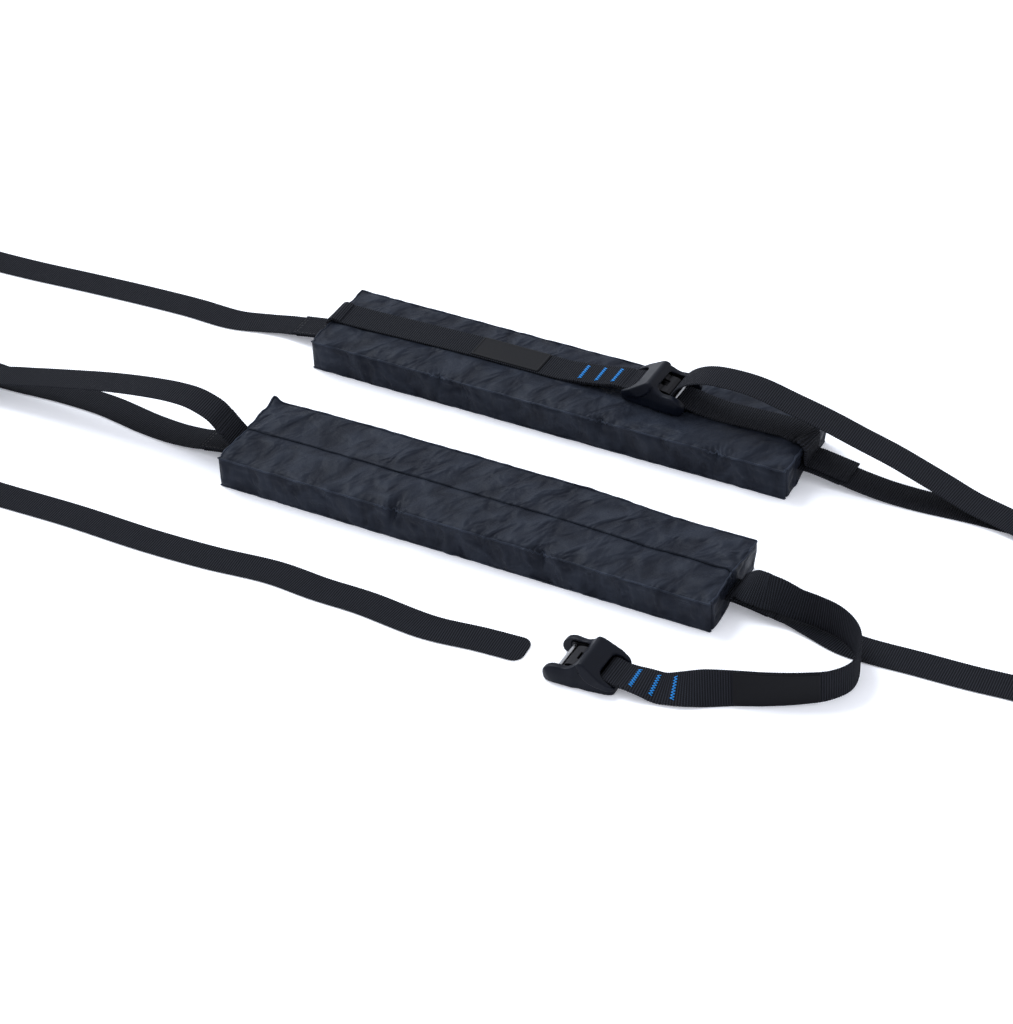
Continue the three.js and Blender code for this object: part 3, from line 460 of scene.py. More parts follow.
REAR_LOAD = [
    [271, 127.4, OVER_TOP + 2.4], [264.3, 128.68, OVER_TOP + 2.2], [254.3, 130.68, OVER_TOP + 1.9],
    [215, 130.6, OVER_TOP + 0.9], [180, 129, OVER_TOP + 1.2],
    [155, 128, OVER_TOP + 4.4], [138, 128, OVER_TOP + 7.8], [127, 128, OVER_TOP + 8.9],
    [124.4, 128, OVER_TOP + 10], [123.4, 128, OVER_TOP + 12.6],
    [123.6, 128, OVER_TOP + 16], [126, 128, OVER_TOP + 21], [133, 128, OVER_TOP + 30],
    [146, 128, OVER_TOP + 39], [163, 128, OVER_TOP + 45], [190, 128, OVER_TOP + 47.6],
    [222, 128, OVER_TOP + 46], [261, 128, OVER_TOP + 37], [302, 128, 66], [342, 128, 54],
    [380, 128, 43], [412, 128, 31.5], [440, 127, 22], [472, 124, 12.4], [508, 120, 7],
    [545, 111, 6], [572, 98, 6.2, 3], [600, 84, 0, 14], [632, 76, 0, 52], [660, 73, ON_EDGE - 0.6, 84],
    [678, 72.5, ON_EDGE, 90], [692, 72.5, ON_EDGE, 90],
]
FRONT_LOAD = [
    [-304, -118.8, 38.4], [-310.2, -119.4, 45.9], [-318, -120, 54], [-330, -120.6, 60], [-347, -121, 64.6],
    [-372, -122, 65.6], [-410, -123, 62], [-460, -124, 54], [-515, -126, 43], [-565, -129, 33],
    [-610, -133, 24], [-650, -142, 12], [-690, -149, 6, 20], [-725, -152, 0, 56],
    [-755, -153, ON_EDGE, 90], [-770, -153, ON_EDGE, 90],
]
FRONT_LOAD_TAIL = [
    [-770, -291, ON_EDGE, 90], [-755, -291, ON_EDGE, 90], [-722, -291, 0, 60], [-685, -291, 0, 22],
    [-645, -291.5, 0, 2], [-560, -292, 0], [-500, -292, 0], [-400, -289.5, 0], [-300, -291, 0],
    [-224, -288, 0], [-150, -281, 0], [-92, -284, 0], [-38, -284, 0], [41, -290, 0], [100, -284, 0],
    [151, -281, 0],
]

# %% [markdown]
# A coil on edge is a spiral: its radius shrinks by one pitch for each turn, and its outermost turn
# starts where the strap runs into it. A hank is straight runs joined by half circles.

# %% Coil and hank
COIL_INSIDE = 44 * MM
COIL_PITCH = 14.5 * MM
HANK_LENGTH = 250 * MM
HANK_RUNS = 4


def coil_outside(spare):
    """Radius of the outermost turn: the area between it and the innermost is pitch times length."""
    return math.sqrt(COIL_INSIDE**2 + COIL_PITCH * spare / math.pi)


def coil_centre(stations, spare, turn):
    """The strap runs on past its last station until it meets the coil, which lies on the turn's side."""
    radius = coil_outside(spare)
    end = stations[-1, :2]
    heading = stations[-1, :2] - stations[-2, :2]
    heading /= np.linalg.norm(heading)
    meet = end + heading * math.sqrt((WEB_THICK + REST_GAP) * (2 * radius + REST_GAP))
    left = np.array([-heading[1], heading[0]])
    return meet + turn * radius * left, meet


def with_coil(stations, spare, turn):
    """Adds the spiral to a strap: radius = outside - pitch * angle / 2 pi."""
    centre, meet = coil_centre(stations, spare, turn)
    radius = coil_outside(spare)
    turns = (radius - COIL_INSIDE) / COIL_PITCH
    angle = np.linspace(0, 2 * math.pi * turns, 600)
    first = math.atan2(*(meet - centre)[::-1])
    reach = radius - COIL_PITCH * angle / (2 * math.pi)
    around = first + turn * angle
    high = np.full(len(angle), ON_EDGE * MM)
    spiral = np.column_stack(
        [centre[0] + reach * np.cos(around), centre[1] + reach * np.sin(around), high,
         np.full(len(angle), math.pi / 2), np.full(len(angle), WEB_THICK)]
    )
    return np.vstack([stations, spiral]), centre


def with_hank(stations, tail):
    """Joins a strap to its tail by runs that lie side by side, turned about by half circles."""
    start, far = stations[-1, :2], tail[0, :2]
    pitch = (start[1] - far[1]) / (HANK_RUNS - 1)
    radius = pitch / 2
    near = start[0] - WEB_THICK - radius
    left = start[0] - HANK_LENGTH + radius + 2 * WEB_THICK
    half = np.linspace(0, math.pi, 60)
    parts = []
    for i in range(HANK_RUNS - 1):
        middle = start[1] - (i + 0.5) * pitch
        sign, x = (-1, left) if i % 2 == 0 else (1, near)
        parts.append(np.column_stack([x + sign * radius * np.sin(half), middle + radius * np.cos(half)]))
    plan = np.vstack(parts)
    rest = np.tile([ON_EDGE * MM, math.pi / 2, WEB_THICK], (len(plan), 1))
    return np.vstack([stations, np.column_stack([plan, rest]), tail])


# %% Make the straps
ROOF_SPARE = 800 * MM
LOAD_SPARE = 1300 * MM
CORDS = {}
COILS = {}


def strap(name, stations, round_end=0.0):
    """One ribbon along the stations, kept with its path and its length."""
    stations = even(stations)
    smooth = int(10 * MM / RING_STEP)
    for column in (2, 3):
        stations[:, column] = soften(stations[:, column], smooth)
    stations[:, 2] = np.maximum(stations[:, 2], resting(stations[:, 3], stations[:, 4]))
    piece = ribbon(name, stations, round_end=round_end)
    CORDS[name] = (piece, stations, run_along(stations[:, :3])[-1])
    print(f"{name}: {CORDS[name][2]:.3f} m, {len(piece.data.polygons)} faces")


for name, route, spare, turn in (
    ("front_roof_left", FRONT_ROOF_LEFT, ROOF_SPARE, -1),
    ("front_roof_right", FRONT_ROOF_RIGHT, ROOF_SPARE, -1),
    ("rear_roof_left", REAR_ROOF_LEFT, ROOF_SPARE, -1),
    ("rear_roof_right", REAR_ROOF_RIGHT, ROOF_SPARE, 1),
    ("rear_load", REAR_LOAD, LOAD_SPARE, -1),
):
    laid = lay_out(route)
    wound, centre = with_coil(laid, spare, turn)
    COILS[name] = (centre, laid[-1, :2], spare)
    strap(name + "_webbing", wound)
strap("front_load_webbing", with_hank(lay_out(FRONT_LOAD), lay_out(FRONT_LOAD_TAIL)), round_end=12 * MM)
strap("front_buckle_webbing", lay_out(FRONT_BUCKLE))
strap("rear_buckle_webbing", lay_out(REAR_BUCKLE))

# %% [markdown]
# ## Ties
# Each coil, and the front load strap's hank, is held by a closed band of hook and loop tape.

# %% Ties
TIE_WIDTH = 20 * MM
TIE_THICK = 1.4 * MM
TIE_CORNER = 4 * MM
TIE = mottled(
    "hook and loop tape", "#0b0b0d", "#222327", (1400.0, 2.0), grain=(1400.0, 2.0, 0.7, 0.3 * MM),
    Roughness=0.95, Sheen_Weight=0.3,
)


def tie_band(name, middle, direction, length):
    """A band round an upright rectangle with rounded corners. direction is the way that length runs,
    and the band's width lies square to it."""
    off = REST_GAP + TIE_THICK / 2
    low = EDGE_REST * MM - off
    high = EDGE_REST * MM + WEB_WIDTH + off
    half = length / 2 + off
    arcs = []
    for k, (sx, sz) in enumerate(((1, 1), (-1, 1), (-1, -1), (1, -1))):
        turn = np.linspace(0, math.pi / 2, 7) + k * math.pi / 2
        mid_x = sx * (half - TIE_CORNER)
        mid_z = high - TIE_CORNER if sz > 0 else low + TIE_CORNER
        arcs.append(np.column_stack([mid_x + TIE_CORNER * np.cos(turn), mid_z + TIE_CORNER * np.sin(turn)]))
    loop = np.vstack(arcs)
    outward = loop - np.array([0, (low + high) / 2])
    normal = unit(np.column_stack([np.gradient(loop[:, 1]), -np.gradient(loop[:, 0])]))
    normal *= np.sign((normal * outward).sum(1))[:, None]
    across = np.array([-0.5, -0.47, 0.47, 0.5, 0.5, 0.47, -0.47, -0.5]) * TIE_WIDTH
    level = np.array([0.2, 0.5, 0.5, 0.2, -0.2, -0.5, -0.5, -0.2]) * TIE_THICK
    ring = loop[:, None] + level[:, None] * normal[:, None]
    points = (
        np.array([*middle, 0.0])
        + ring[..., :1] * np.array([*direction, 0.0])
        + ring[..., 1:] * np.array([0, 0, 1.0])
        + across[:, None] * np.array([-direction[1], direction[0], 0.0])
    )
    return make_piece(name, points, swept_faces(*ring.shape[:2], closed=True), TIE)


TIES = {}
for name, (centre, end, spare) in COILS.items():
    way = (centre - end) / np.linalg.norm(centre - end)
    inner = math.sqrt((COIL_INSIDE - WEB_THICK / 2) ** 2 - (TIE_WIDTH / 2) ** 2) - REST_GAP
    outer = coil_outside(spare) + WEB_THICK / 2
    TIES[name] = tie_band(name + "_band", centre + way * (inner + outer) / 2, way, outer - inner)
hank_end, hank_far = np.array(FRONT_LOAD[-1][:2]) * MM, FRONT_LOAD_TAIL[0][1] * MM
TIES["front_load"] = tie_band(
    "front_load_band",
    np.array([hank_end[0] - HANK_LENGTH / 2, (hank_end[1] + hank_far) / 2]),
    np.array([0.0, 1.0]),
    hank_end[1] - hank_far + 2 * WEB_THICK,
)

# %% [markdown]
# ## What each strap stands for
# A free strap stays on the rack's body and hides the nodes that it stands for.


def declare_cord(name, nodes):
    """A strap's piece stays on the rack's body and hides the nodes that it stands for."""
    piece, stations, length = CORDS[name + "_webbing"]
    dress(piece, "webbing", *nodes)


PUT_AWAY = {
    "front_load": ["front_load_strap", "front_load_hank", "front_load_tail"],
    "rear_load": ["rear_load_strap", "rear_load_coil"],
}
for name, tie in TIES.items():
    dress(tie, "tie", name + "_tie")
    nodes = PUT_AWAY.get(name, [name.replace("_roof_", "_roof_strap_"), name + "_coil"])
    declare_cord(name, nodes)

# %% [markdown]
# ## The sewn ends
# Webbing runs through each pad from end to end. A branch is sewn on it beyond the pad's end, folds
# back to the pad and rises from there: the load strap's root at one end and the buckle's at the other.

# %% Roof webbing and roots
WEB_EXIT = 14
PATCH_LENGTH = 52
PATCH_DROP = 7
THICK = WEB_THICK / MM
ROOTS = {}


def roof_web(name, place):
    """The webbing through a pad: level inside it, then sinking towards the floor beyond both ends."""
    end = PAD_LENGTH / 2
    half = [
        [end - 20, WEB_EXIT], [end + 6, WEB_EXIT],
        [end + PATCH_LENGTH / 2, WEB_EXIT - 0.35 * PATCH_DROP],
        [end + PATCH_LENGTH - 7, WEB_EXIT - 0.84 * PATCH_DROP],
    ]
    route = [[place[0] - out, place[1], up] for out, up in half[::-1]]
    route += [[place[0] + out, place[1], up] for out, up in half]
    dress(ribbon(name + "_webbing", even(lay_out(route))), "webbing", name)


def strap_root(name, place, side, sewn, rise):
    """A branch's root: a stitched stretch on the roof webbing, a fold at the pad's end, and a leg given
    by rise as [out, across, up, lean, thickness]."""
    end = place[0] + side * PAD_LENGTH / 2
    on = WEB_EXIT + THICK + 0.6
    patch = [
        [PATCH_LENGTH, on + 0.4 - PATCH_DROP], [PATCH_LENGTH / 2, on - 0.35 * PATCH_DROP], [11, on],
        [5, on + 0.4],
    ]
    route = [[end + side * out, place[1] + sewn, up] for out, up in patch]
    route += [[end + side * out, place[1] + shift, up, lean, thick] for out, shift, up, lean, thick in rise]
    ROOTS[name] = even(lay_out(route))
    dress(ribbon(name + "_webbing", ROOTS[name]), "webbing", name)


roof_web("front_roof_web", FRONT)
roof_web("rear_roof_web", REAR)
strap_root("front_load_root", FRONT, -1, 0, [
    [3.6, 0, 19, 0, THICK], [8, 0, 23, 0, DOUBLED], [17, -1, 33.5, 0, DOUBLED], [26, -2, 45, 0, DOUBLED],
])
strap_root("front_buckle_root", FRONT, 1, 0, [
    [4.6, 0, 20.4, 0, THICK], [11, 0, 25, 8, DOUBLED], [24, -4.4, 30, 37, DOUBLED],
    [40, -7, 31, 60, DOUBLED],
])
strap_root("rear_load_root", REAR, 1, 5, [
    [3, 5, 19, 0, THICK], [3.2, 5, 27, 0, DOUBLED], [3, 5.2, 37, 0, DOUBLED],
    [-2, 6.4, OVER_TOP + 3, 0, DOUBLED], [-9, 9.4, OVER_TOP + 2.5, 0, DOUBLED],
    [-19, 11.4, OVER_TOP + 2.2, 0, DOUBLED],
])
strap_root("rear_buckle_root", REAR, -1, 0, [
    [3, 0.4, 19, 0, THICK], [3.2, 1.6, 27, 0, DOUBLED], [3, 2.6, 37, 0, DOUBLED],
    [-2, 3.4, OVER_TOP + 3, 0, DOUBLED], [-12, 4, OVER_TOP + 2.2, 0, DOUBLED],
])

# %% [markdown]
# The branches are sewn on with rows of black bonded thread along and across. It is a little glossier
# than the webbing. One stitch is a small bead with six sides, and a row is that bead repeated along the
# strap's surface, all in one mesh.

# %% Stitches
STITCH = 3.4 * MM
STITCH_GAP = 1.2 * MM
STITCH_RADIUS = 0.42 * MM
STITCH_RISE = 0.12 * MM
BEAD = 6
BLACK_THREAD = mottled(
    "black bonded thread", "#0c0c0e", "#1d1e22", (1100.0, 2.0), Roughness=0.35, Specular_IOR_Level=0.4
)


def stitch_rows(name, stations, rows):
    """Stitches on a strap's upper face. Each row is (from, to) along the strap and (from, to) across
    it, in millimetres. A stitch swells and sinks by a half sine of its length."""
    run = run_along(stations[:, :3])
    _, across, out = frames(stations)
    share = np.linspace(0, 1, BEAD)
    turn = np.linspace(0, 2 * math.pi, BEAD, endpoint=False)[:, None]
    points = []
    for along_from, along_to, across_from, across_to in rows:
        length = math.hypot(along_to - along_from, across_to - across_from) * MM
        count = max(1, int(length / (STITCH + STITCH_GAP)))
        first = (np.arange(count) + 0.5) / count - STITCH / length / 2
        t = (first[:, None] + share * STITCH / length).ravel()
        at = (along_from + (along_to - along_from) * t) * MM
        sideways = (across_from + (across_to - across_from) * t)[:, None] * MM
        laid, way, up = (read_at(at, run, table) for table in (stations, across, out))
        forward = unit(np.cross(way, up) * (along_to - along_from) + way * (across_to - across_from))
        swell = np.tile(0.25 + 0.75 * np.sin(math.pi * share), count)[:, None]
        middle = laid[:, :3] + sideways * way + (laid[:, 4:] / 2 + STITCH_RISE * swell) * up
        ring = np.cos(turn) * np.cross(forward, up)[:, None] + np.sin(turn) * up[:, None]
        points.append((middle[:, None] + STITCH_RADIUS * swell[..., None] * ring).reshape(-1, 3))
    points = np.vstack(points)
    starts = np.arange(0, len(points), BEAD**2)[:, None, None]
    ends = np.array([np.arange(BEAD)[::-1], np.arange(BEAD) + BEAD * (BEAD - 1)])
    faces = [(starts + f).reshape(-1, f.shape[1]) for f in (grid_faces(BEAD, BEAD, wrap=True), ends)]
    dress(make_piece(name, points, faces, BLACK_THREAD), "webbing")


for name, stations in ROOTS.items():
    stitch_rows(name + "_stitches", stations, [
        (2, 2, -16, 16), (6, 6, -16, 16), (2, 38, -16.5, -16.5), (2, 38, 16.5, 16.5), (34, 34, -16, 16),
        (38, 38, -16, 16),
    ])

# %% [markdown]
# ## The pads
# Each pad is a block of foam in a cover of coated nylon, sewn from panels. Nylon doesn't stretch, so a
# cover that is a little too large for its foam buckles between its seams. A cloth simulation gives
# that: the panels grow a few percent while the seams are held and a slight pressure pushes them out.
# It runs on a coarse block, and a fine one with extra lines at its edges and its lap reads the result.

# %% Noise for cloth
def value_noise(points, seed):
    """Smooth noise from -1 to 1: random values at whole-number places, blended between them by
    3t^2 - 2t^3 along each axis. The values come from multiplying and mixing the places' own numbers."""
    cell = np.floor(points).astype(np.int64)
    t = points - cell
    t = t * t * (3 - 2 * t)
    total = np.zeros(len(points))
    for corner in np.ndindex(2, 2, 2):
        at = cell + np.array(corner)
        mixed = (at[:, 0] * 73856093) ^ (at[:, 1] * 19349663) ^ (at[:, 2] * 83492791) ^ (seed * 2654435761)
        mixed = (mixed ^ (mixed >> 13)) * 1274126177 & 0x7FFFFFFF
        value = (mixed ^ (mixed >> 16)) % 65536 / 32767.5 - 1
        weight = np.prod(np.where(np.array(corner) == 1, t, 1 - t), axis=1)
        total += weight * value
    return total


def creases(points, seed, size, stretch, turn):
    """Ridged noise, 1 - 2|noise|, on coordinates turned by turn and stretched along the creases. A
    second noise bends the coordinates first, so that no two creases run quite alike."""
    c, s = math.cos(turn), math.sin(turn)
    bend = 0.5 * size * value_noise(points / (1.7 * size), seed + 5)
    x = points[:, 0] * c + points[:, 1] * s + bend
    y = (points[:, 1] * c - points[:, 0] * s + bend) / stretch
    return 1 - 2 * np.abs(value_noise(np.column_stack([x, y, points[:, 2] / stretch]) / size, seed))


def fade(distance, width):
    """1 at no distance, falling as a Gaussian whose width is given."""
    return np.exp(-((distance / width) ** 2))


# %% A block as six grids
def block_sides(lines):
    """The six sides of a block from its grid lines along X, Y and Z: for each, its two axes, whether
    its quads turn round, and its points."""
    sides = []
    for axis in range(3):
        u, v = [k for k in range(3) if k != axis]
        for sign in (-1, 1):
            grid = np.zeros((len(lines[u]), len(lines[v]), 3))
            grid[..., u] = lines[u][:, None]
            grid[..., v] = lines[v][None, :]
            grid[..., axis] = sign * lines[axis][-1]
            sides.append((u, v, (sign > 0) == (axis != 1), grid))
    return sides


def weld(sides):
    """One closed mesh from the sides: points in the same place become one. back says which point each
    place of each side became."""
    faces, total = [], 0
    for _, _, flip, grid in sides:
        quads = grid_faces(*grid.shape[:2])
        faces.append(total + (quads[:, ::-1] if flip else quads))
        total += grid.shape[0] * grid.shape[1]
    points = np.vstack([grid.reshape(-1, 3) for *_, grid in sides])
    _, first, back = np.unique(np.round(points, 7), axis=0, return_index=True, return_inverse=True)
    back = back.ravel()
    return points[first], back[np.vstack(faces)], first, back


def read_between(values, old, new):
    """Values on old grid lines read at new ones, along the first axis, by Catmull-Rom's cubic."""
    at = np.interp(new, old, np.arange(len(old)))
    low = np.minimum(at.astype(int), len(old) - 2)
    t = (at - low)[:, None, None]
    last = len(old) - 1
    return (
        values[np.maximum(low - 1, 0)] * (-t / 2 + t**2 - t**3 / 2)
        + values[low] * (1 - 2.5 * t**2 + 1.5 * t**3)
        + values[low + 1] * (t / 2 + 2 * t**2 - 1.5 * t**3)
        + values[np.minimum(low + 2, last)] * (-(t**2) / 2 + t**3 / 2)
    )


def round_block(points, half, radius):
    """Each point goes to radius from the nearest place of a block that is radius smaller."""
    core = np.array(half) - radius
    inner = np.clip(points, -core, core)
    away = points - inner
    return inner + radius * away / np.linalg.norm(away, axis=1)[:, None]


# %% Cloth simulation
PAD_INSET = np.array([0.6, 0.6, 0.9]) * MM
PAD_HALF = np.array([PAD_LENGTH, PAD_WIDTH, PAD_HEIGHT]) / 2 * MM - PAD_INSET
PAD_MIDDLE = PAD_HALF[2] + 0.4 * MM
CLOTH_STEP = 5 * MM
CLOTH_FRAMES = 20
CLOTH_GROWTH = 0.03
CLOTH_LIMIT = 1.6 * MM


def vertex_places(piece):
    """All vertex places of a piece as one array."""
    places = np.zeros(len(piece.data.vertices) * 3, np.float32)
    piece.data.vertices.foreach_get("co", places)
    return places.reshape(-1, 3).astype(float)


def place_vertices(piece, places):
    """Puts every vertex at its row of places."""
    piece.data.vertices.foreach_set("co", places.astype(np.float32).ravel())
    piece.data.update()


def inflate(points, faces, held):
    """Runs the cloth: the seams are held, the panels grow and the pressure pushes them out. Returns how
    far each point moved, as limit * tanh(move / limit), so that nothing goes further than the limit."""
    piece = make_piece("cloth", points, [faces], WEBBING)
    group = piece.vertex_groups.new(name="seams")
    group.add(held.tolist(), 1.0, "REPLACE")
    cloth = piece.modifiers.new("cloth", "CLOTH")
    settings = cloth.settings
    settings.quality = 6
    settings.mass = 0.2
    settings.tension_stiffness = settings.compression_stiffness = 12
    settings.shear_stiffness = 5
    settings.bending_stiffness = 0.2
    settings.use_pressure = True
    settings.uniform_pressure_force = 4
    settings.vertex_group_mass = "seams"
    settings.shrink_min = -CLOTH_GROWTH
    settings.effector_weights.gravity = 0
    cloth.collision_settings.use_collision = False
    cloth.point_cache.frame_start = 1
    cloth.point_cache.frame_end = CLOTH_FRAMES
    for frame_number in range(1, CLOTH_FRAMES + 1):
        bpy.context.scene.frame_set(frame_number)
    graph = bpy.context.evaluated_depsgraph_get()
    move = vertex_places(piece.evaluated_get(graph)) - points
    bpy.data.objects.remove(piece)
    bpy.context.scene.frame_set(1)
    far = np.maximum(np.linalg.norm(move, axis=1), 1e-9)[:, None]
    print(f"cloth moved {np.median(far) / MM:.1f} mm, at most {far.max() / MM:.1f} mm")
    return move / far * CLOTH_LIMIT * np.tanh(far / CLOTH_LIMIT)


# %% [markdown]
# The nylon's colour is a dark blue grey, and its coating gives a soft, broad shine on the bumped
# crumples. Its colour is also painted darker and lighter along the same strokes: painted shade in the
# creases and a painted sheen between them. The weave is finer than the picture can show, so it is a
# bump of 1.2 mm, the least that shows. The cloth puckers every 4 mm or so where it is gathered in a seam.

# %% Nylon material
WEAVE = 1.2 * MM
STROKE = 21 * MM
DRIFT = 65 * MM
PUCKER = 4 * MM
PUCKER_FLAT = 0.16
STROKE_TURN = math.radians(-28)
STROKE_STRETCH = (1.0, 1.8, 1.5)


def nylon_material(name, low, high):
    """Coated woven nylon. Its strokes are noise stretched along the creases, stronger and weaker from
    place to place by a broad drift, and its puckers are finer noise stretched up the faces. Its colour
    goes from low to high with the strokes, a painted shade and sheen of the creases."""
    material, tree = new_material(name, Roughness=0.42, Specular_IOR_Level=0.05)
    place = add_node(tree, "TexCoord", out="Object")
    skew = add_node(
        tree, "Mapping",
        {"vector_type": "TEXTURE", "Rotation": (0, 0, STROKE_TURN), "Scale": STROKE_STRETCH}, {0: place},
    )
    strokes = noise(tree, skew, 1 / STROKE, 2.2, Roughness=0.5, Distortion=0.4)
    strength = span(tree, noise(tree, place, 1 / DRIFT), 0.35, 0.65, 0.35, 1.5)
    upright = add_node(tree, "Mapping", {"Scale": (1.0, 1.0, PUCKER_FLAT)}, {0: place})
    axes = [add_node(tree, "SeparateXYZ", links={0: place}, out=k) for k in range(3)]
    turns = [math_node(tree, "MULTIPLY", axis, 2 * math.pi / WEAVE) for axis in axes]
    threads = [math_node(tree, "SINE", turn) for turn in turns]
    weave = math_node(tree, "ADD", math_node(tree, "ADD", threads[0], threads[1]), threads[2])
    fine = bump(tree, weave, 0.3, 0.1 * MM)
    gathered = bump(tree, noise(tree, upright, 1 / PUCKER), 0.5, 0.9 * MM, fine)
    soft = bump(tree, math_node(tree, "MULTIPLY", strokes, strength), 0.8, 11 * MM, gathered)
    # The colour follows the strokes: painted shade in the creases, painted sheen on their crests.
    wire(tree, Base_Color=mix(tree, low, high, span(tree, strokes, 0.36, 0.64)), Normal=soft)
    return material


NYLON = nylon_material("coated nylon", "#181b23", "#252932")
# The seam ridges' nylon is lighter than the cover's: a painted highlight along each ridge.
SEAM_NYLON_PAINTED_HIGHLIGHT = nylon_material("seam nylon with painted highlight", "#20242d", "#2f343f")

# %% How the cover lies
PAD_EDGE = 1.3 * MM
FINE_STEP = 2.3 * MM
CLOSE_LINES = np.array([0.35, 0.8, 1.4]) * MM
MARK_ROOM = 0.9 * MM
LAP_LINES = np.array([-1.7, -1.1, -0.6, -0.1, 0.4]) * MM
LAP_WIDTH = 24
SLIT_AT = 3.8
SLIT_LINES = (SLIT_AT + np.array([-1.2, -0.6, 0, 0.6, 1.2])) * MM - PAD_HALF[1]
TUCKS = {"front": (-77, 100), "rear": (-130, 71, 212)}
SEEDS = {"front": 11, "rear": 47}
TOP_ROOM = {"front": 8 * MM, "rear": 2 * MM}


def settle(points, side):
    """How the cover lies on its foam, as a move in metres for each point of the plain block: creases
    across the top, the lap along its middle with a fold behind it, a fan of creases at the right end,
    the front pad's crown, tucks in the front seam, upright waves on its faces, a valley in each end
    where the webbing leaves, a slit beside each front corner, and raised corners."""
    x, y, z = (points / MM).T
    hx, hy, hz = PAD_HALF / MM
    seed = SEEDS[side]
    move = np.zeros(points.shape)
    top = np.clip((z / hz - 0.55) / 0.45, 0, 1)
    inward = np.clip((hy - np.abs(y)) / 7, 0.1, 1) * np.clip((hx - np.abs(x)) / 6, 0.15, 1)
    busy = 0.62 + 0.3 * value_noise(points / MM / 70, seed + 3) + 0.35 * (np.abs(x) / hx) ** 3
    busy *= 1.0 if side == "front" else 1.25 + 0.35 * np.tanh(x / 60)
    rough = 0.62 * creases(points / MM, seed, 24, 2.8, STROKE_TURN)
    rough += 0.38 * creases(points / MM, seed + 1, 13, 2.4, -STROKE_TURN)
    move[:, 2] += top * inward * busy * 1.7 * rough
    lap = np.where(y > 0, np.clip(1 - y / LAP_WIDTH, 0, 1) ** 1.5, 0) * 1.3 - 5 * fade(y + 0.85, 0.5)
    move[:, 2] += top * (lap + 1.3 * fade(y - 21, 5.5) * fade(x - 40, 170))
    fan = np.cos(8 * np.arctan2(np.abs(y) + 1, hx - x + 6)) * fade(hx - x, 55)
    move[:, 2] += top * inward * 0.8 * fan * np.clip(np.hypot(hx - x, y) / 15, 0, 1)
    if side == "front":
        crown = np.clip((215 - x) / 125, 0, 1) * (0.5 + 0.5 * np.clip((x + hx) / 120, 0, 1))
        crown = crown * crown * (3 - 2 * crown)
        move[:, 2] += top * crown * (1 + 3 * np.clip((y + hy) / hy, 0, 1))
        move[:, 1] += top * crown * 2.5 * fade(np.maximum(hy - y, 0), 12)
    end = fade(hx - np.abs(x), 7)
    move[:, 0] += np.sign(x) * fade(hx - np.abs(x), 2.5) * 0.8 * lap
    valley = 5.5 * fade(y, 17) * (0.4 + 0.6 * fade(z + 4.5, 11))
    valley += 4 * np.clip(y / hy, 0, 1) * np.clip((6 - z) / 22, 0, 1)
    pleats = 0.8 * value_noise(np.column_stack([y / 7, z / 16, x * 0]), seed + 9)
    move[:, 0] -= np.sign(x) * end * (valley + pleats * np.clip((hy - np.abs(y)) / 8, 0, 1))
    front = np.clip((np.abs(y) - hy + 5) / 5, 0, 1)
    upright = np.column_stack([x / 12 + z / 60, z / 42, y * 0])
    waves = value_noise(upright, seed + 7) + 0.5 * value_noise(upright * 2.3, seed + 8)
    move[:, 1] -= np.sign(y) * front * 1.15 * (0.4 - waves) * np.clip(1.15 - np.abs(z / hz) ** 3, 0, 1)
    for at in TUCKS[side]:
        near = fade(x - at, 9) * fade(y + hy, 13) * fade(z - hz, 12)
        pinch = fade(x - at - 0.12 * (z - hz), 3.2) * front * (y < 0) * np.clip((z / hz + 0.9) / 1.4, 0, 1)
        rays = np.cos(1.1 * (x - at) + 0.35 * (y + hy)) * fade(x - at, 16) * fade(y + hy, 16) * top
        move[:, 1] += 2.8 * near + 4.6 * pinch
        move[:, 2] += -3.6 * near + 1.9 * rays
    slit = fade(y + hy - SLIT_AT, 1.2) * fade(hx - np.abs(x), 2.2) * 3.4
    move[:, 0] -= np.sign(x) * slit
    corner = fade(hx - np.abs(x), 7) * fade(hy - np.abs(y), 7) * top
    ear = corner * (x < 0) * (y > 0) * (side == "front")
    move[:, 2] += 0.5 * corner + 5.0 * ear
    move[:, 1] += 2.2 * ear
    under = front * fade(z - hz + 2.6, 1.1)
    move[:, 1] -= np.sign(y) * 0.7 * under
    return move * MM


def lie_under(places, room):
    """A soft ceiling: above the block's top, a height h becomes room * tanh(h / room)."""
    over = places[:, 2] - PAD_HALF[2]
    places[:, 2] = np.where(over > 0, PAD_HALF[2] + room * np.tanh(over / room), places[:, 2])
    places[:, 2] = np.maximum(places[:, 2], -PAD_HALF[2] - 0.2 * MM)
    return places


def fine_lines(half, marks=()):
    """Grid lines from one edge to the other: even ones, closer ones at the edges, and the marks."""
    lines = np.linspace(-half, half, int(round(2 * half / FINE_STEP)) + 1)
    marks = np.concatenate([marks, half - CLOSE_LINES, CLOSE_LINES - half])
    clear = np.abs(lines[:, None] - marks[None, :]).min(1) > MARK_ROOM
    edge = np.abs(np.abs(lines) - half) < 1e-9
    inner = np.abs(lines) < half - CLOSE_LINES[-1]
    return np.sort(np.concatenate([lines[(clear & inner) | edge], marks]))


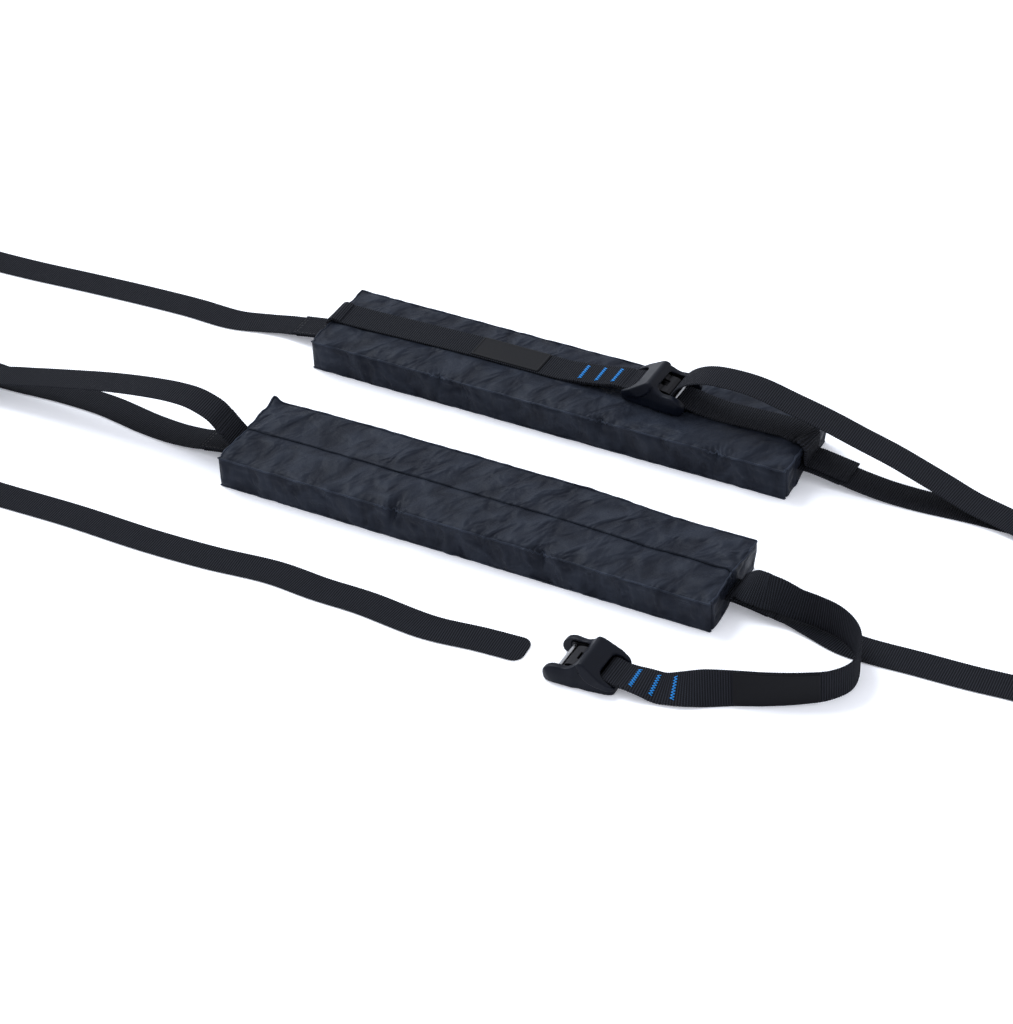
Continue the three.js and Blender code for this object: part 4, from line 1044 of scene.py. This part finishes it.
def make_pad(side, place):
    """The cover over its foam: a coarse block for the cloth, then a fine one that takes its moves."""
    coarse = [np.linspace(-h, h, int(round(2 * h / CLOTH_STEP)) + 1) for h in PAD_HALF]
    marks = [(), np.concatenate([LAP_LINES, SLIT_LINES]), ()]
    fine = [fine_lines(*both) for both in zip(PAD_HALF, marks)]
    coarse_sides, fine_sides = block_sides(coarse), block_sides(fine)
    points, faces, first, _ = weld(fine_sides)
    swell = np.zeros(points.shape)
    block, block_faces, _, back = weld(coarse_sides)
    seams = np.flatnonzero((np.abs(block) > PAD_HALF - 1e-6).sum(1) >= 2)
    moved = inflate(block, block_faces, seams)[back]
    parts, start = [], 0
    for u, v, _, grid in coarse_sides:
        count = grid.shape[0] * grid.shape[1]
        values = moved[start : start + count].reshape(grid.shape)
        start += count
        values = read_between(values, coarse[u], fine[u])
        values = read_between(values.transpose(1, 0, 2), coarse[v], fine[v]).transpose(1, 0, 2)
        parts.append(values.reshape(-1, 3))
    swell = np.vstack(parts)[first]
    places = round_block(points, PAD_HALF, PAD_EDGE) + swell + settle(points, side)
    places = lie_under(places, TOP_ROOM[side])
    places += np.array([place[0] * MM, place[1] * MM, PAD_MIDDLE])
    piece = make_piece(side + "_pad", places, [faces], NYLON)
    dress(piece, "pad_fabric", side + "_cover", side + "_foam")
    box = np.array([places.min(0), places.max(0)]) / MM
    print(side, "pad box", box.round(1).tolist(), len(piece.data.polygons), "faces")


make_pad("front", FRONT)
make_pad("rear", REAR)

# %% [markdown]
# ## Seams
# The panels meet in a narrow ridge round the top and the bottom: the turned-in edges of the cloth,
# held by the stitching. Each is a thin roll that follows the same moves as the cover under it. Its
# nylon is painted lighter than the cover's, a painted highlight along the ridge.

# %% Seam ridges
SEAM_RADIUS = 1.05 * MM
SEAM_STEP = 2 * MM
SEAM_WANDER = 0.7 * MM


def tube(name, path, radius, up, material, sides=8, closed=False):
    """A round roll along a path: at each point a circle square to the way the path runs. up is one
    direction, or one for each point, that the path never runs along."""
    forward = unit(np.roll(path, -1, 0) - np.roll(path, 1, 0) if closed else np.gradient(path, axis=0))
    across = unit(np.cross(forward, np.broadcast_to(up, path.shape)))
    turn = np.linspace(0, 2 * math.pi, sides, endpoint=False)[:, None]
    ring = np.cos(turn) * across[:, None] + np.sin(turn) * np.cross(across, forward)[:, None]
    return make_piece(name, path[:, None] + radius * ring, swept_faces(len(path), sides, closed), material)


def seam_ring(side, place, height, name):
    """The outline of the pad at a height, with a small irregular wander, as a closed roll."""
    hx, hy = PAD_HALF[:2] - 0.05 * MM
    corners = np.array([[-hx, -hy], [hx, -hy], [hx, hy], [-hx, hy], [-hx, -hy]])
    run = run_along(corners)
    at = np.arange(0, run[-1] - SEAM_STEP / 2, SEAM_STEP)
    base = np.column_stack([read_at(at, run, corners), np.full(len(at), height)])
    wander = [value_noise(base / MM / 9 + k * 31.7, SEEDS[side]) for k in range(2)]
    places = base + settle(base, side)
    places[:, 2] += SEAM_WANDER * wander[0]
    places[:, :2] *= 1 + 0.004 * wander[1][:, None] * np.array([0.1, 1])
    low, high = SEAM_RADIUS - PAD_MIDDLE + 0.1 * MM, PAD_HALF[2] + TOP_ROOM[side] * 0.8
    places[:, 2] = np.clip(places[:, 2], low, high)
    places += np.array([place[0] * MM, place[1] * MM, PAD_MIDDLE])
    # The roll's lighter nylon is a painted highlight.
    dress(tube(name, places, SEAM_RADIUS, np.array([0, 0, 1.0]), SEAM_NYLON_PAINTED_HIGHLIGHT, closed=True), "pad_fabric")


for side, place in (("front", FRONT), ("rear", REAR)):
    seam_ring(side, place, PAD_HALF[2] - 0.1 * MM, side + "_top_seam")
    seam_ring(side, place, 0.9 * MM - PAD_HALF[2], side + "_bottom_seam")

# %% [markdown]
# ## The buckles' straps
# Each buckle strap carries a soft rubber label and three bar tacks, and its doubled end goes round the
# buckle's rear bar. The label's field is bare inside a raised border. The tacks are bonded polyester
# thread in bright blue.

# %% Rubber and thread materials
def rubber(name, low, high, dullness):
    """Moulded rubber: matt, a shade uneven where it was handled, with a fine spark-eroded grain."""
    return mottled(
        name, low, high, (55.0, 3.0), (dullness - 0.08, dullness + 0.1), (1500.0, 2.0, 0.25, 0.12 * MM),
        Roughness=dullness, Specular_IOR_Level=0.12,
    )


LABEL_RUBBER = rubber("moulded soft rubber", "#050509", "#0b0c11", 0.5)
BOOT_RUBBER = rubber("moulded matt rubber", "#070a12", "#0b0f1a", 0.42)
THREAD = mottled(
    "bonded polyester thread", "#0a66b4", "#2396e4", (900.0, 2.0), Roughness=0.5, Specular_IOR_Level=0.3
)

# %% Labels
LABEL_LENGTH = 86 * MM
LABEL_WIDTH = 35 * MM
LABEL_THICK = 1.2 * MM
LABEL_CORNER = 2.5 * MM
LABEL_STEP = 0.5 * MM
BORDER = (0.9 * MM, 2.3 * MM)
BORDER_RISE = 0.45 * MM
BORDER_SHOULDER = 0.25 * MM


def run_at(stations, place):
    """Distance along a strap to its station nearest to a place in the floor's plane, in millimetres."""
    gap = np.linalg.norm(stations[:, :2] - np.array(place) * MM, axis=1)
    return run_along(stations[:, :3])[gap.argmin()]


def make_label(side, stations, start, face):
    """A thin slab on the strap's face. Its height follows the distance from its edge: up at once, a
    little higher along the border, with soft shoulders, and level in the field."""
    at = np.linspace(start, start + LABEL_LENGTH, int(round(LABEL_LENGTH / LABEL_STEP)) + 1)
    laid = read_at(at, run_along(stations[:, :3]), stations)
    _, across, out = frames(laid)
    run = run_along(laid[:, :3])
    to_end = np.minimum(run, run[-1] - run)[:, None]
    left = np.clip(to_end / LABEL_CORNER, 0, 1)
    half = LABEL_WIDTH / 2 - LABEL_CORNER * (1 - np.sqrt(1 - (1 - left) ** 2))
    share = np.concatenate([np.linspace(-1, -0.8, 12), np.linspace(-0.78, 0.78, 21), np.linspace(0.8, 1, 12)])
    t = share * half
    inside = np.minimum(half - np.abs(t), to_end)
    border = np.clip((inside - BORDER[0]) / BORDER_SHOULDER, 0, 1)
    border *= np.clip((BORDER[1] - inside) / BORDER_SHOULDER, 0, 1)
    high = LABEL_THICK * np.clip(0.35 + inside / (0.4 * MM), 0, 1) + BORDER_RISE * border
    surface = laid[:, 4:] / 2
    lower = np.broadcast_to(surface - 0.2 * MM, t.shape)
    p = np.hstack([t, t[:, ::-1]])
    q = np.hstack([surface + high, lower]) * face
    points = laid[:, None, :3] + p[..., None] * across[:, None] + q[..., None] * out[:, None]
    piece = make_piece(side + "_label_patch", points, swept_faces(*p.shape), LABEL_RUBBER)
    return dress(piece, "label", side + "_label")


# %% Bar tacks
TACK_LENGTH = 26 * MM
TACK_WIDTH = 4.0 * MM
TACK_PITCH = 21 * MM
TACK_FIRST = 12 * MM
TACK_STROKES = 16
STROKE_POINTS = 6
THREAD_RADIUS = 0.42 * MM


def make_tack(side, number, stations, middle, face):
    """One thread in a zigzag across the strap. Each stroke bows up by a half sine and dives into the
    webbing at both ends."""
    k = np.arange(TACK_STROKES * STROKE_POINTS + 1) / STROKE_POINTS
    zig = 1 - 2 * np.abs((k % 2) - 1)
    lift = (0.1 * MM + 0.4 * MM * np.sin(math.pi * (k % 1)))[:, None]
    across_at = ((k / TACK_STROKES - 0.5) * TACK_LENGTH)[:, None]
    run = run_along(stations[:, :3])
    _, across, out = frames(stations)
    laid, way, up = (read_at(middle + zig * TACK_WIDTH / 2, run, table) for table in (stations, across, out))
    up *= face
    path = laid[:, :3] + across_at * way + (laid[:, 4:] / 2 + lift) * up
    piece = tube(f"{side}_tack_thread_{number}", path, THREAD_RADIUS, up, THREAD, sides=7)
    return dress(piece, "thread", f"{side}_bar_tack_{number}")


# %% Loops round the rear bars
BUCKLES = {"front": ((222, -283, REST_GAP / MM), -1), "rear": ((103, 128, OVER_TOP), 1)}
BAR_RADIUS = 2.5
BAR_ROOM = 0.3
LOOP_TURN = BAR_RADIUS + BAR_ROOM + THICK / 2
LOOP_TAIL = 15.6


def make_loop(side):
    """The strap's end round the rear bar: two layers, one above the other, that part at the bar. Its
    points are (u, w) from the bar: u along the buckle, towards the load strap, and w up."""
    (x, y, z), way = BUCKLES[side]
    flat = THICK / 2
    half = [[-LOOP_TAIL, flat], [-11, flat + 0.1], [-7.5, flat + 1.2], [-4, LOOP_TURN - 0.5]]
    half += [[LOOP_TURN * math.cos(a), LOOP_TURN * math.sin(a)] for a in np.radians([90, 60, 30, 0])]
    outline = half + [[u, -w] for u, w in half[-2::-1]]
    route = [[x + way * (REAR_BAR[0] + u), y, z + REAR_BAR[1] + w] for u, w in outline]
    return dress(ribbon(side + "_loop_webbing", even(lay_out(route))), "webbing", side + "_buckle_loop")


# %% [markdown]
# ## The boots
# A moulded rubber boot covers each buckle. The CAD solid has its true size, with flat facets. A copy is
# merged, remeshed to even cells of 0.8 mm and smoothed, which rounds its edges as a mould does, and
# then the step down each side, under the saddle, and the swell of its lobes are moved in by formula.

# %% Boots
BOOT_CELL = 0.8 * MM
BOOT_SMOOTHING = 10
STEP_POINTS = np.array([[1, 27], [-3, 20], [-9, 14.5], [-18, 10.5], [-28, 7.6], [-38, 6.2]])


def curve_distance(u, w, points):
    """Distance from each (u, w) to a line through points, and its sign: positive above the line."""
    dense, _ = smooth_curve(np.column_stack([points, np.zeros(len(points))]), 8)
    gap = np.hypot(u[:, None] - dense[None, :, 0], w[:, None] - dense[None, :, 1])
    nearest = gap.argmin(1)
    return gap.min(1), np.sign(w - dense[nearest, 1])


def apply_modifiers(piece):
    """Keeps the mesh that the modifiers make, and drops them."""
    graph = bpy.context.evaluated_depsgraph_get()
    mesh = bpy.data.meshes.new_from_object(piece.evaluated_get(graph))
    piece.modifiers.clear()
    old, piece.data = piece.data, mesh
    bpy.data.meshes.remove(old)


def make_boot(side):
    """The boot's copy, softened. In the buckle's own (u, v, w) the outer sides step in below a line that
    falls from the ridge to the strap's end, stand out a little above it, and swell at the lobes."""
    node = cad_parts[side + "_buckle_boot"]
    merged = bmesh.new()
    merged.from_mesh(node.data)
    bmesh.ops.remove_doubles(merged, verts=merged.verts, dist=1e-6)
    mesh = bpy.data.meshes.new(side + "_boot_rubber")
    merged.to_mesh(mesh)
    merged.free()
    piece = bpy.data.objects.new(mesh.name, mesh)
    bpy.context.scene.collection.objects.link(piece)
    cells = piece.modifiers.new("cells", "REMESH")
    cells.mode = "VOXEL"
    cells.voxel_size = BOOT_CELL
    cells.use_smooth_shade = True
    soft = piece.modifiers.new("soft", "SMOOTH")
    soft.factor = 0.5
    soft.iterations = BOOT_SMOOTHING
    apply_modifiers(piece)
    (x, y, z), way = BUCKLES[side]
    places = vertex_places(piece) / MM
    u, v, w = (places[:, 0] - x) * way, (places[:, 1] - y) * way, places[:, 2] - z
    gap, above = curve_distance(u, w, STEP_POINTS)
    outer = np.clip((np.abs(v) - 19) / 5, 0, 1)
    step = np.clip(0.5 + gap * above / 1.8, 0, 1)
    step = (2.6 * step * step * (3 - 2 * step) - 1.9) * np.clip((5 - u) / 7, 0, 1)
    lobe = 1.8 * fade(u - 26, 11) * fade(w - 10, 9)
    push = outer * (step + lobe)
    places[:, 1] += way * np.sign(v) * push
    places[:, 2] += 1.8 * np.clip((w - 8) / 8, 0, 1) * fade(u - 26, 9) * np.clip((np.abs(v) - 15) / 6, 0, 1)
    places[:, 2] = np.maximum(places[:, 2], z)
    place_vertices(piece, places * MM)
    piece.data.materials.clear()
    piece.data.materials.append(BOOT_RUBBER)
    print(piece.name, len(piece.data.polygons), "faces")
    return dress(piece, "boot_rubber", side + "_buckle_boot")


# %% Metal materials
def metal(name, low, high, dullness, grain):
    """Metal with its own colour in the reflection, and a fine grain of the given size in metres that
    breaks the highlight up."""
    cloud = (1 / grain, 3.0)
    return mottled(
        name, low, high, cloud, (dullness - 0.06, dullness + 0.12), (*cloud, 0.3, 0.1 * MM),
        Metallic=1.0, Roughness=dullness,
    )


ZINC = metal("die-cast zinc", "#1c1c1e", "#2f2f32", 0.5, 2.5 * MM)
STEEL = metal("bright plated steel", "#8f9093", "#b4b5b8", 0.24, 1.5 * MM)
KEPT = {"frame": ZINC, "rear_bar": STEEL, "front_bar": STEEL, "pin": STEEL, "cam": ZINC, "spring": ZINC}
for side in BUCKLES:
    for part, material in KEPT.items():
        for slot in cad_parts[f"{side}_buckle_{part}"].material_slots:
            slot.material = material

# %% [markdown]
# ## What the buckle straps carry
# The label is measured from where the strap leaves its root, and the tacks from its buckle end.

SEWN = {
    "front": ((347, -124.3), 206 * MM, (262.4, -283), -1),
    "rear": ((-293.6, 121.3), 168 * MM, (62.6, 128), 1),
}
for side, (root_end, label_from, buckle_end, face) in SEWN.items():
    stations = CORDS[side + "_buckle_webbing"][1]
    label = make_label(side, stations, run_at(stations, root_end) + label_from, face)
    last = run_at(stations, buckle_end) - TACK_FIRST
    tacks = [make_tack(side, i + 1, stations, last - i * TACK_PITCH, face) for i in range(3)]
    kept = [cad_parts[f"{side}_buckle_{part}"] for part in KEPT]
    carried = [make_loop(side), make_boot(side), label, *tacks, *kept]
    declare_cord(side + "_buckle", [side + "_buckle_strap"])

# %% [markdown]
# ## Floor and light
# The rack lies on a white sweep that glows a little, as a light table does, so that its shadows stay
# faint. A wide, soft lamp beyond it and to the left rakes over the pads' tops, so that their creases
# show and their fronts stay darker, and the sky fills the shadows with a cool light.

# %% Floor and light
LAMP_HEIGHT = math.radians(48)
LAMP_ANGLE = math.radians(30)
LAMP_TO_LEFT = math.radians(40)
floor_mesh = bpy.data.meshes.new("floor")
floor_mesh.from_pydata([(-30, -30, 0), (30, -30, 0), (30, 30, 0), (-30, 30, 0)], [], [(0, 1, 2, 3)])
floor = bpy.data.objects.new("floor", floor_mesh)
bpy.context.scene.collection.objects.link(floor)
floor_material, _ = new_material(
    "white sweep", Base_Color=hex_colour("#f6f7fb"), Roughness=0.9, Emission_Color=hex_colour("#f4f6ff"),
    Emission_Strength=0.2,
)
floor_mesh.materials.append(floor_material)

lamp_way = math.atan2(-CAMERA_BACK[1], -CAMERA_BACK[0]) + LAMP_TO_LEFT
towards_lamp = Vector((math.cos(lamp_way), math.sin(lamp_way), math.tan(LAMP_HEIGHT))).normalized()
lamp_data = bpy.data.lights.new("soft lamp", "SUN")
lamp_data.energy = 2.6
lamp_data.angle = LAMP_ANGLE
lamp_data.color = (0.88, 0.94, 1.0)
lamp = bpy.data.objects.new("soft lamp", lamp_data)
lamp.rotation_euler = towards_lamp.to_track_quat("Z", "Y").to_euler()
bpy.context.scene.collection.objects.link(lamp)

world = bpy.data.worlds.new("studio")
world.use_nodes = True
world.node_tree.nodes["Background"].inputs[0].default_value = (0.93, 0.95, 1.0, 1)
world.node_tree.nodes["Background"].inputs[1].default_value = 1.0
bpy.context.scene.world = world
bpy.context.scene.view_settings.view_transform = "Standard"
